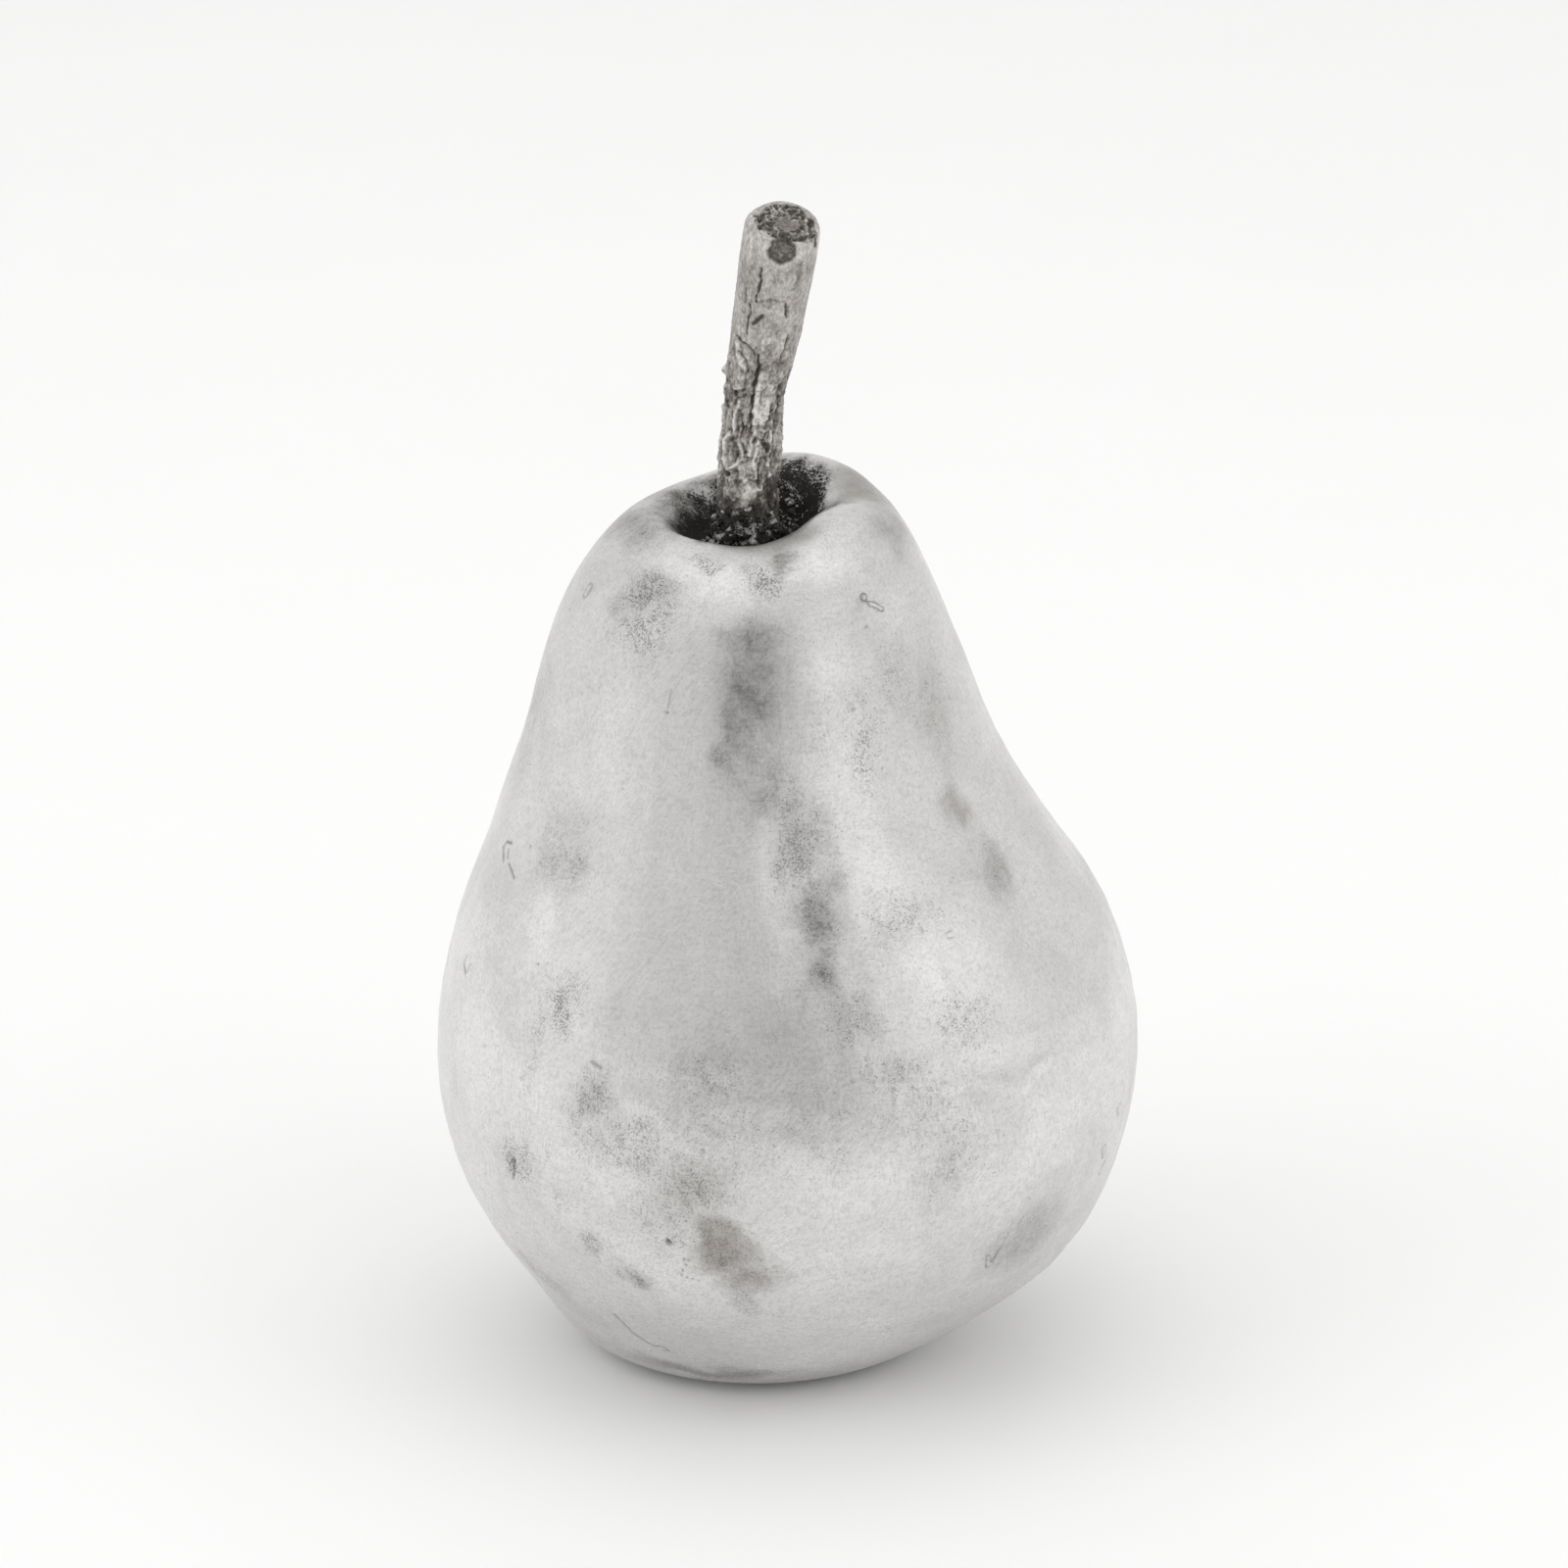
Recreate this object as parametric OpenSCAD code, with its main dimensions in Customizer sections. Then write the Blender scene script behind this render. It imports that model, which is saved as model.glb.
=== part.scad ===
// Ornamental pear, life size: a thin silvered metal skin on a hard filling, with a cast stem set into the
// hollow at its top and a felt pad under its foot. Millimetres. +Z is up, and the origin is the middle of
// the pad's underside, where the pear stands. -Y is the front, where the stem's cut end faces.

/* [Fruit] */
// Diameter of the fruit at its widest
fruit_d = 75; // [73:1:82]
// Height of the fruit's highest shoulder above the surface it stands on
fruit_h = 95; // [86:1:104]
// How far the belly sits to the right of the line through the foot and the neck
belly_shift = 3.6; // [0:0.2:6]
// Thickness of the metal skin
skin_t = 1.2; // [0.8:0.1:1.6]

/* [Stem] */
// Diameter of the stem at its thinnest
stem_d = 6.4; // [5.6:0.2:7.2]
// Diameter of the stem where it flares below the cut end
stem_top_d = 8; // [7:0.2:9]
// Height of the middle of the stem's cut end above the fruit's highest shoulder
stem_rise = 29.4; // [20:0.2:36]
// How far the cut end leans to the right of the stem's root
stem_lean = 3.2; // [0:0.2:6]
// Angle of the cut end from square, towards the front
cut_angle = 15; // [0:1:25]
// Diameter of the steel pin that holds the stem
pin_d = 2.5; // [2:0.5:3]

/* [Foot] */
// Diameter of the felt pad
pad_d = 27; // [24:0.5:27]
// Thickness of the felt pad
pad_t = 2; // [1.5:0.5:2.5]
// Thickness of the disc above the pad
disc_t = 2; // [1.5:0.5:2.5]

/* [Smoothness] */
// Facets round the fruit
sides = 60; // [40:4:64]
// Rows of facets between two points of the fruit's outline, outside
outer_rows = 3; // [2:1:3]

/* [Hidden] */
$fn = 48;
eps = 0.01;

// The fruit's outline, as [radius, height] from the edge of the opening in the foot, round the belly and
// the shoulder, down into the hollow, to the edge of the hole that the stem goes through.
OUTLINE = [
    [14, 1.6], [17.5, 1], [21, 2.8], [26.5, 8], [33, 16], [36.8, 26], [37.5, 37], [34.5, 48],
    [29.3, 58], [24.9, 68], [21.8, 78], [18.4, 86.5], [14.6, 91.8], [10.8, 93.6], [8.2, 92.2],
    [6.4, 90], [4.2, 89]
];
// Swellings and dents, as [angle, height, amount, half-width in degrees, half-width in height]. Angles run
// anticlockwise from +X, seen from above, so the front is at 270.
LUMPS = [
    [62, 95, 3.0, 46, 7],    // the shoulder stands higher behind on the right
    [270, 94, -1.0, 50, 6],  // the hollow's near lip is low
    [322, 94.5, 2.2, 36, 4.5],  // but it rises on the right, and so it dips in front of the stem
    [180, 93, -0.5, 56, 8],  // the left shoulder is low too
    [5, 55, 1.2, 50, 14],    // fuller neck on the right
    [0, 70, 0.3, 40, 10],    // up to its shoulder
    [180, 83, 0.45, 44, 9],  // and on the left under the shoulder
    [355, 10, 0.7, 46, 9],   // fuller underside there
    [248, 63, 0.7, 22, 20],  // two soft ribs down the front of the neck
    [300, 56, 0.9, 22, 18],
    [316, 30, 0.6, 24, 9],   // swelling on the right of the belly
    [225, 26, 0.6, 26, 10],  // and on its left
    [275, 24, -0.5, 20, 10], // flat between them
    [60, 28, 0.7, 26, 16],   // the same soft lobes behind
    [120, 40, -0.6, 24, 18],
    [165, 22, 0.5, 26, 12]
];
LAST = len(OUTLINE) - 1;
HOLLOW_FLOOR = fruit_h - 6; // height of the hole that the stem goes through
DISC_TOP = pad_t + disc_t;
DISC_GAP = 1.2; // room round the disc, across its diameter

ROOT_X = -0.5;  // the stem's root stands a little to the left of the hole's middle
TENON_D = stem_d - 0.2;
TENON_GAP = 0.2; // room round the tenon, across its diameter
TENON_LEN = 11;
TENON_FOOT = HOLLOW_FLOOR - 2 - TENON_LEN;
PIN_IN_STEM = 9;
PIN_IN_CORE = 12;
BEAD_H = 2.2;

// A smooth curve through points p: its place at t, counted in points from 0.
function at(p, i) = i < 0 ? 2 * p[0] - p[1] : i >= len(p) ? 2 * p[len(p) - 1] - p[len(p) - 2] : p[i];
function piece_of(p, t) = min(floor(t), len(p) - 2);
function curve(p, t) =
    let (i = piece_of(p, t), f = t - i, a = at(p, i - 1), b = at(p, i), c = at(p, i + 1), d = at(p, i + 2))
    0.5 * (2 * b + (c - a) * f + (2 * a - 5 * b + 4 * c - d) * f * f + (3 * b - a - 3 * c + d) * pow(f, 3));
// The curve's direction at t, of length 1.
function heading(p, t) =
    let (step = 0.01, v = curve(p, min(t + step, len(p) - 1)) - curve(p, max(t - step, 0)))
    v / norm(v);

// A number's turn from angle b, in degrees from -180 to 180.
function turn(a, b) = let (d = (a - b) % 360) d > 180 ? d - 360 : d < -180 ? d + 360 : d;
function swelling(a, z) = [
    for (l = LUMPS) l[2] * exp(-pow(turn(a, l[0]) / l[3], 2) - pow((z - l[1]) / l[4], 2))
];
function sum(v, i = 0) = i == len(v) ? 0 : v[i] + sum(v, i + 1);
// How far to the right the fruit's middle lies at height z: nothing at the foot and the neck.
function shift(z) = belly_shift * (1 - exp(-pow(z / 9, 2))) * exp(-pow(max(z - 25, 0) / 32, 4));

// The fruit's surface at t along the outline and angle a, at a depth under the skin's outside.
function skin(t, a, depth = 0) =
    let (
        p = curve(OUTLINE, t),
        way = heading(OUTLINE, t),
        out = sum(swelling(a, p[1])) - depth,
        r = (p[0] + out * way[1]) * fruit_d / 75,
        z = (p[1] - out * way[0]) * fruit_h / 95
    )
    [r * cos(a) + shift(p[1]), r * sin(a), z];

// Rings of points, each a list of n, into the two triangles of each four neighbours.
function bands(rings, n) = [
    for (i = [0:rings - 2], j = [0:n - 1])
        let (k = (j + 1) % n, a = i * n + j, b = i * n + k, c = a + n, d = b + n)
        each [[a, c, b], [b, c, d]]
];
function lid(first, n, up) = [for (j = [0:n - 1]) first + (up ? n - 1 - j : j)];

// A closed solid through rings of points that run upwards, with a flat lid at each end.
module stack(rings) {
    n = len(rings[0]);
    points = [for (ring = rings) each ring];
    polyhedron(points, concat(bands(len(rings), n), [lid(0, n, false), lid((len(rings) - 1) * n, n, true)]));
}

// A closed solid whose rings go round and come back to the first.
module loop_of(rings) {
    n = len(rings[0]);
    points = [for (ring = concat(rings, [rings[0]])) each ring];
    faces = bands(len(rings) + 1, n);
    wrapped = [for (f = faces) [for (v = f) v % (len(rings) * n)]];
    polyhedron([for (ring = rings) each ring], wrapped);
}

function skin_ring(t, depth = 0) = [for (j = [0:sides - 1]) skin(t, j * 360 / sides, depth)];
function skin_rings(first, last, rows, depth = 0) = [
    for (i = [0:(last - first) * rows]) skin_ring(first + i / rows, depth)
];

module silver_shell() {
    outside = skin_rings(0, LAST, outer_rows);
    inside = skin_rings(0, LAST, 2, skin_t);
    back = [for (i = [len(inside) - 1:-1:0]) inside[i]];
    color("gainsboro") loop_of(concat(outside, back));
}

// Everything inside the skin, less the seats of the disc, the stem's tenon and its pin.
module core_filling() {
    color("tan") difference() {
        stack(skin_rings(0, LAST, 2, skin_t));
        translate([0, 0, -eps]) cylinder(d = pad_d + DISC_GAP, h = DISC_TOP + eps);
        translate([0, 0, TENON_FOOT]) cylinder(d = TENON_D + TENON_GAP, h = fruit_h);
        translate([0, 0, TENON_FOOT - PIN_IN_CORE]) cylinder(d = pin_d, h = fruit_h);
    }
}

// The stem's middle line, from inside the hollow to the cut end.
STEM_LINE = [
    [ROOT_X, 0, HOLLOW_FLOOR - 0.8],
    [ROOT_X, 0, fruit_h + 1],
    [0, -0.3, fruit_h + stem_rise * 0.36],
    [stem_lean * 0.56, -1.4, fruit_h + stem_rise * 0.72],
    [stem_lean, -2.7, fruit_h + stem_rise]
];
STEM_RADII = [[stem_d * 0.53], [stem_d * 0.53], [stem_d * 0.49], [stem_top_d * 0.47], [stem_top_d * 0.5]];
STEM_SIDES = 20;
STEM_ROWS = 26;
// Bark: long ribs that wander up the stem.
function bark(a, s) = 0.12 * sin(3 * a + 260 * s) + 0.08 * sin(5 * a - 420 * s) + 0.06 * sin(1300 * s + 2 * a);

// A ring of the stem at s, from 0 at its root to 1 at the cut end, where it tilts to the cut's angle.
function stem_ring(s) =
    let (
        last = len(STEM_LINE) - 1,
        middle = curve(STEM_LINE, s * last),
        up = heading(STEM_LINE, s * last),
        side = cross([0, 1, 0], up) / norm(cross([0, 1, 0], up)),
        deep = cross(up, side),
        size = curve(STEM_RADII, s * last)[0],
        tilt = tan(cut_angle) * pow(s, 10)
    )
    [
        for (j = [0:STEM_SIDES - 1])
            let (a = j * 360 / STEM_SIDES, r = size + bark(a, s))
            middle + r * (cos(a) * side + sin(a) * deep + sin(a) * tilt * up)
    ];
// The rim of the cut end is worn round: a smaller last ring, a little higher.
function worn_rim(ring, keep, rise) =
    let (middle = sum_points(ring) / len(ring))
    [for (p = ring) middle + (p - middle) * keep + rise * heading(STEM_LINE, len(STEM_LINE) - 1)];
function sum_points(v, i = 0) = i == len(v) ? [0, 0, 0] : v[i] + sum_points(v, i + 1);

module stem() {
    end = stem_ring(1);
    rings = [for (i = [0:STEM_ROWS]) stem_ring(i / STEM_ROWS)];
    color("dimgray") difference() {
        union() {
            stack(concat(rings, [worn_rim(end, 0.9, 0.6), worn_rim(end, 0.76, 0.9)]));
            translate([0, 0, TENON_FOOT]) cylinder(d = TENON_D, h = TENON_LEN + 4);
        }
        translate([0, 0, TENON_FOOT - eps]) cylinder(d = pin_d, h = PIN_IN_STEM + eps);
    }
}

// The dark bead of cement round the stem's root. It lies on the hollow's floor and meets the stem.
module stem_cement() {
    outer = LAST - 1.9;
    rows = 5;
    under = [for (i = [0:rows]) skin_ring(outer + i * (LAST - outer) / rows)];
    inner = [for (z = [0, BEAD_H]) [for (p = under[rows]) [p[0] / 2, p[1] / 2, p[2] + z]]];
    top = [
        for (i = [rows - 1:-1:1])
            let (t = outer + i * (LAST - outer) / rows, rise = BEAD_H * sqrt(i / rows))
            [for (j = [0:sides - 1]) skin(t, j * 360 / sides, -rise * (1 + 0.25 * sin(j * 97 + i * 60)))]
    ];
    color([0.16, 0.15, 0.14]) difference() {
        loop_of(concat(under, inner, top));
        translate([ROOT_X, 0, HOLLOW_FLOOR - 5]) cylinder(d = 2 * STEM_RADII[0][0] + 0.5, h = 20);
    }
}

module stem_pin() {
    color("silver")
        translate([0, 0, TENON_FOOT - PIN_IN_CORE])
            cylinder(d = pin_d, h = PIN_IN_CORE + PIN_IN_STEM);
}

module base_disc() {
    color("darkgray") translate([0, 0, pad_t]) cylinder(d = pad_d, h = disc_t);
}

module felt_pad() {
    color("black") cylinder(d = pad_d, h = pad_t);
}

silver_shell();
core_filling();
stem();
stem_cement();
stem_pin();
base_disc();
felt_pad();
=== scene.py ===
"""Looks of the ornamental silver pear: a fine skin, bark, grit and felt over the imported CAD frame."""
import math
import random

import bmesh
import bpy
import numpy as np
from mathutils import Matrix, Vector, noise
from mathutils.bvhtree import BVHTree


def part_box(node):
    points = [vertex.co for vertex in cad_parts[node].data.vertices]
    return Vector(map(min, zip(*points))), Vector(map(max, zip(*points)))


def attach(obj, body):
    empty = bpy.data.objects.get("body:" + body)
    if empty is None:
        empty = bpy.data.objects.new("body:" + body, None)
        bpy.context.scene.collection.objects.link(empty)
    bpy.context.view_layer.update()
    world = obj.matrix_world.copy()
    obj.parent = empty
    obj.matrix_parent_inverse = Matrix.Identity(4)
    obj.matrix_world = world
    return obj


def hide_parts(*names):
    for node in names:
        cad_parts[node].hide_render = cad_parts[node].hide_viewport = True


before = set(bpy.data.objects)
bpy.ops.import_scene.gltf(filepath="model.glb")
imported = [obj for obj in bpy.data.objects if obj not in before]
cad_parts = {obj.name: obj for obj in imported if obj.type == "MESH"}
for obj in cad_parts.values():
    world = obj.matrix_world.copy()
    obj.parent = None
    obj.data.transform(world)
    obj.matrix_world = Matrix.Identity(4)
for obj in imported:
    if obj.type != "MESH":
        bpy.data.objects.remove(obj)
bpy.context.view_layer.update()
MM = 0.001
rng = random.Random(7)


# ---------------------------------------------------------------- measuring the frame

def tree_of(*names):
    """A ray-casting tree of one or more CAD nodes together."""
    verts, faces = [], []
    for name in names:
        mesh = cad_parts[name].data
        first = len(verts)
        verts += [v.co.copy() for v in mesh.vertices]
        faces += [[first + i for i in p.vertices] for p in mesh.polygons]
    return BVHTree.FromPolygons(verts, faces)


def cast(tree, start, way, reach=1.0):
    """Distance in millimetres from start along way to the tree, or nan."""
    hit = tree.ray_cast(Vector(start) * MM, Vector(way), reach)
    return float("nan") if hit[0] is None else hit[3] / MM


skin_tree = tree_of("silver_shell", "core_filling", "base_disc")
shell_tree = tree_of("silver_shell")
stem_tree = tree_of("stem")
PAD_LOW, PAD_HIGH = (np.array(c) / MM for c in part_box("felt_pad"))
CEMENT_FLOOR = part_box("stem_cement")[0].z / MM
STEM_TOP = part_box("stem")[1].z / MM
FRUIT_LOW, FRUIT_HIGH = (np.array(c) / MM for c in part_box("silver_shell"))
HEART = (FRUIT_LOW + FRUIT_HIGH) / 2
HEART[1] = 0.0
RAY_START = 90.0  # rays onto the fruit start this far from its middle
RAY_TOP = 110.0   # and rays down into its hollow start at this height


def on_skin(azimuth, height):
    """The skin's point at an azimuth (front is 270) and a height, in millimetres."""
    a = math.radians(azimuth)
    way = np.array([math.cos(a), math.sin(a), 0.0])
    start = RAY_START * way + [0, 0, height]
    return start - way * cast(shell_tree, start, -way)


# ---------------------------------------------------------------- numbers on points

def cloud(points, size, octaves=3, seed=0.0):
    """Fractal noise of about -1 to 1 whose largest lumps are size millimetres across."""
    shift = Vector((seed * 17.3, seed * 5.1, seed * 9.7))
    return np.array([noise.fractal(Vector(p) / size + shift, 1.0, 2.0, octaves) for p in points])


def bell(x, width=1.0):
    """1 at 0, falling smoothly to about a third at the width."""
    return np.exp(-(x / width) ** 2)


def ease(low, high, x):
    """0 below low and 1 above high, with a smooth step between; the other way round if high is lower."""
    t = np.clip((x - low) / (high - low), 0, 1)
    return t * t * (3 - 2 * t)


def distance_to_path(points, path):
    """Distance from each point to a line through the path's points."""
    best = np.full(len(points), 1e9)
    if len(path) == 1:
        return np.linalg.norm(points - path[0], axis=1)
    for a, b in zip(path[:-1], path[1:]):
        along = b - a
        t = np.clip((points - a) @ along / (along @ along), 0, 1)
        best = np.minimum(best, np.linalg.norm(points - a - t[:, None] * along, axis=1))
    return best


def neighbour_pairs(quads):
    edges = np.concatenate([quads[:, [i, (i + 1) % 4]] for i in range(4)])
    edges.sort(axis=1)
    return np.unique(edges, axis=0)


def relax(values, pairs, rounds, shrink=0.5, swell=-0.53):
    """Smooths values over a grid's neighbours without shrinking the broad shape."""
    count = np.bincount(pairs.ravel(), minlength=len(values)).astype(float)
    for i in range(2 * rounds):
        total = np.bincount(pairs[:, 0], values[pairs[:, 1]], len(values))
        total += np.bincount(pairs[:, 1], values[pairs[:, 0]], len(values))
        values = values + (shrink if i % 2 == 0 else swell) * (total / count - values)
    return values


# ---------------------------------------------------------------- mesh objects

def add_to_scene(name, data):
    added = bpy.data.objects.new(name, data)
    bpy.context.scene.collection.objects.link(added)
    return added


def ring_net(rings, turns, flip=False):
    """Rings of numbered points: the numbers, those of each one's neighbour, and the squares."""
    index = np.arange(rings * turns).reshape(rings, turns)
    beside = np.roll(index, -1, axis=1)
    squares = np.stack([index[:-1], beside[:-1], beside[1:], index[1:]], -1).reshape(-1, 4)
    if flip:
        squares = squares[:, [0, 3, 2, 1]]
    return index, beside, squares.tolist()


def new_object(name, verts_mm, faces, material):
    """A visible piece in the material's own look, which rides on the pear."""
    mesh = bpy.data.meshes.new(name)
    mesh.from_pydata([tuple(v) for v in np.asarray(verts_mm) * MM], [], [tuple(f) for f in faces])
    mesh.validate()
    mesh.shade_smooth()
    mesh.materials.append(material)
    piece = add_to_scene(name, mesh)
    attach(piece, "root")
    return piece


def write_field(mesh, name, values):
    """Stores one number a vertex, which the materials read as an attribute."""
    field = mesh.attributes.new(name, "FLOAT", "POINT")
    field.data.foreach_set("value", np.asarray(values, np.float32))


def vertex_array(mesh):
    co = np.empty(len(mesh.vertices) * 3, np.float32)
    mesh.vertices.foreach_get("co", co)
    return co.reshape(-1, 3).astype(float) / MM


def normal_array(mesh):
    no = np.empty(len(mesh.vertices) * 3, np.float32)
    mesh.vertex_normals.foreach_get("vector", no)
    return no.reshape(-1, 3).astype(float)


def move_vertices(mesh, points):
    mesh.vertices.foreach_set("co", (points * MM).astype(np.float32).ravel())
    mesh.update()


# ---------------------------------------------------------------- shader helpers

class NodeTree:
    """A node tree, written as short calls that return sockets."""

    def __init__(self, owner):
        owner.use_nodes = True
        self.nodes = owner.node_tree.nodes
        self.links = owner.node_tree.links

    def put(self, socket, value):
        if isinstance(value, bpy.types.NodeSocket):
            self.links.new(value, socket)
        else:
            socket.default_value = value

    def calc(self, operation, a, b=0.0, c=0.0, clamp=False):
        made = self.nodes.new("ShaderNodeMath")
        made.operation = operation
        made.use_clamp = clamp
        for socket, value in zip(made.inputs, (a, b, c)):
            self.put(socket, value)
        return made.outputs[0]


class Shader(NodeTree):
    """A new material around its Principled BSDF."""

    def __init__(self, name):
        self.material = bpy.data.materials.new(name)
        super().__init__(self.material)
        self.main = self.nodes["Principled BSDF"]
        self.place = self.nodes.new("ShaderNodeTexCoord").outputs["Object"]

    def node(self, kind, **inputs):
        made = self.nodes.new(kind)
        for key, value in inputs.items():
            self.put(made.inputs[key.replace("_", " ")], value)
        return made

    def field(self, name):
        made = self.nodes.new("ShaderNodeAttribute")
        made.attribute_name = name
        return made.outputs["Fac"]

    def noise(self, size_mm, detail=3.0, roughness=0.55, stretch=None, tilt=0.0, distortion=0.0):
        """Noise of 0 to 1. stretch is the size's factor along x, y and z, tilted about y in degrees."""
        where = self.place
        if stretch:
            turned = self.nodes.new("ShaderNodeMapping")
            turned.vector_type = "TEXTURE"
            self.put(turned.inputs["Vector"], where)
            self.put(turned.inputs["Rotation"], (0.0, math.radians(tilt), 0.0))
            self.put(turned.inputs["Scale"], stretch)
            where = turned.outputs[0]
        made = self.node("ShaderNodeTexNoise", Vector=where, Scale=1 / (size_mm * MM), Detail=detail,
                         Roughness=roughness, Distortion=distortion)
        return made.outputs["Fac"]

    def range(self, value, low, high, to_low=0.0, to_high=1.0):
        made = self.nodes.new("ShaderNodeMapRange")
        made.interpolation_type = "SMOOTHSTEP"
        for key, v in (("Value", value), ("From Min", low), ("From Max", high), ("To Min", to_low),
                       ("To Max", to_high)):
            self.put(made.inputs[key], v)
        return made.outputs["Result"]

    def mix(self, factor, a, b):
        made = self.nodes.new("ShaderNodeMix")
        made.data_type = "RGBA"
        self.put(made.inputs["Factor"], factor)
        for socket, value in ((made.inputs[6], a), (made.inputs[7], b)):
            self.put(socket, (*value, 1.0) if isinstance(value, tuple) and len(value) == 3 else value)
        return made.outputs[2]

    def ramp(self, value, *stops):
        """A colour from dark to light through several stops of (place, colour)."""
        made = self.nodes.new("ShaderNodeValToRGB")
        self.put(made.inputs[0], value)
        for _ in stops[2:]:
            made.color_ramp.elements.new(0.5)
        for element, (place, colour) in zip(made.color_ramp.elements, stops):
            element.position = place
            element.color = (*colour, 1.0)
        return made.outputs["Color"]

    def bump(self, height, depth_mm, strength=1.0, under=None):
        made = self.node("ShaderNodeBump", Height=height, Distance=depth_mm * MM, Strength=strength)
        if under is not None:
            self.put(made.inputs["Normal"], under)
        return made.outputs["Normal"]

    def finish(self, **inputs):
        for key, value in inputs.items():
            if isinstance(value, tuple) and len(value) == 3:
                value = (*value, 1.0)
            self.put(self.main.inputs[key.replace("_", " ")], value)
        return self.material


# ---------------------------------------------------------------- materials

SILVER = (0.83, 0.824, 0.815)
SILVER_BRIGHT = (0.95, 0.945, 0.935)
SILVER_DULL = (0.66, 0.654, 0.645)
TARNISH = (0.255, 0.248, 0.242)
BROWN = (0.41, 0.376, 0.346)
GRIME = (0.012, 0.011, 0.01)
PIT_DARK = (0.16, 0.152, 0.145)
MARK_DARK = (0.075, 0.069, 0.063)


def brushed_grain(s):
    """A fine grain with brush strokes over it: upright or slanting by place, and some level."""
    grain = s.noise(0.42, 4, 0.72)
    upright = s.noise(0.24, 3, 0.6, stretch=(1, 1, 5))
    slanting = s.noise(0.22, 3, 0.6, stretch=(1, 1, 7), tilt=38)
    level = s.noise(0.24, 3, 0.6, stretch=(6, 6, 1))
    which = s.noise(7, 2, 0.5)
    strokes = s.calc("ADD", s.calc("MULTIPLY", upright, s.range(which, 0.56, 0.44)),
                     s.calc("MULTIPLY", slanting, s.range(which, 0.44, 0.56)))
    strokes = s.calc("MULTIPLY_ADD", level, 0.5, strokes)
    return s.calc("MULTIPLY", s.calc("MULTIPLY_ADD", strokes, 0.9, grain), 0.43)


def antiqued_silver():
    """Brushed silver with a fine grain, cloudy tarnish with painted dark reflections, rubbed places with
    painted highlights, dark speckles and black grime in the hollow.
    """
    s = Shader("antiqued_silver")
    clouds = s.noise(9, 5, 0.62, distortion=0.4)
    mottle = s.noise(1.5, 4, 0.65)
    broken = s.noise(1.0, 3, 0.6)
    texture = brushed_grain(s)
    dirt, tarnish_and_shade, speckle = s.field("dirt"), s.field("tarnish_and_shade"), s.field("speckle")
    grime, brown, polish_and_highlight = s.field("grime"), s.field("brown"), s.field("polish_and_highlight")

    dull = s.range(s.calc("MULTIPLY_ADD", mottle, 0.3, clouds), 0.48, 0.86)
    colour = s.mix(s.calc("MULTIPLY", dull, 0.55), SILVER, SILVER_DULL)
    # brighter silver on rubbed places, and painted highlights where the silver should catch more light
    colour = s.mix(polish_and_highlight, colour, SILVER_BRIGHT)
    colour = s.mix(s.range(texture, 0.36, 0.60, 0.28, 0.0), colour, TARNISH)
    colour = s.mix(s.range(mottle, 0.34, 0.54, 0.06, 0.0), colour, TARNISH)
    rub = s.range(s.calc("MULTIPLY_ADD", mottle, 0.25, texture), 0.42, 0.72, 1.26, 0.74)
    # tarnish, partly painted shade: dark reflections down the neck and over the belly, and darker towards the
    # bottom
    colour = s.mix(s.calc("MULTIPLY", tarnish_and_shade, rub, clamp=True), colour, TARNISH)
    colour = s.mix(s.calc("MULTIPLY", brown, s.range(mottle, 0.3, 0.7, 0.70, 0.40)), colour, BROWN)
    spots = s.calc("MULTIPLY_ADD", speckle, 0.12, s.noise(0.20, 4, 0.72))
    pits = s.range(s.calc("MULTIPLY_ADD", broken, 0.30, spots), 0.74, 0.86)
    depth = s.calc("MULTIPLY_ADD", speckle, 0.42, 0.34)
    colour = s.mix(s.calc("MULTIPLY", pits, depth), colour, PIT_DARK)
    colour = s.mix(dirt, colour, MARK_DARK)
    grit = s.calc("MULTIPLY_ADD", s.noise(0.26, 4, 0.78), 1.1, s.calc("MULTIPLY", grime, 0.56))
    grit = s.range(s.calc("MULTIPLY_ADD", broken, 0.35, grit), 1.00, 1.20)
    colour = s.mix(grit, colour, GRIME)

    rough = s.range(s.calc("MULTIPLY_ADD", mottle, 0.5, clouds), 0.45, 1.0, 0.25, 0.38)
    rough = s.calc("MAXIMUM", rough, s.calc("MULTIPLY", grit, 0.8))
    normal = s.bump(s.calc("MULTIPLY_ADD", pits, -0.35, texture), 0.05)
    return s.finish(Base_Color=colour, Metallic=s.range(grit, 0.1, 0.9, 1.0, 0.0), Roughness=rough,
                    Specular_IOR_Level=0.3, Normal=normal)


def stem_bark():
    """Dull warm grey cast bark, dark in its cracks and pale where it is worn."""
    s = Shader("stem_bark")
    tone = s.field("tone")
    grain = s.noise(0.30, 4, 0.7, stretch=(1, 1, 1.8))
    fine = s.noise(0.12, 3, 0.6)
    patches = s.noise(2.4, 4, 0.6, stretch=(1, 1, 1.7))
    level = s.calc("ADD", tone, s.range(grain, 0.25, 0.75, -0.17, 0.17))
    level = s.calc("ADD", level, s.range(patches, 0.3, 0.7, -0.06, 0.06))
    colour = s.ramp(level, (0.0, (0.030, 0.026, 0.023)), (0.28, (0.125, 0.114, 0.105)),
                    (0.55, (0.315, 0.294, 0.273)), (0.78, (0.53, 0.508, 0.483)), (1.0, (0.80, 0.79, 0.77)))
    normal = s.bump(s.calc("MULTIPLY_ADD", fine, 0.5, grain), 0.07)
    return s.finish(Base_Color=colour, Metallic=s.range(level, 0.05, 0.4, 0.2, 0.85),
                    Roughness=s.range(level, 0.2, 1.0, 0.6, 0.42), Normal=normal)


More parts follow.
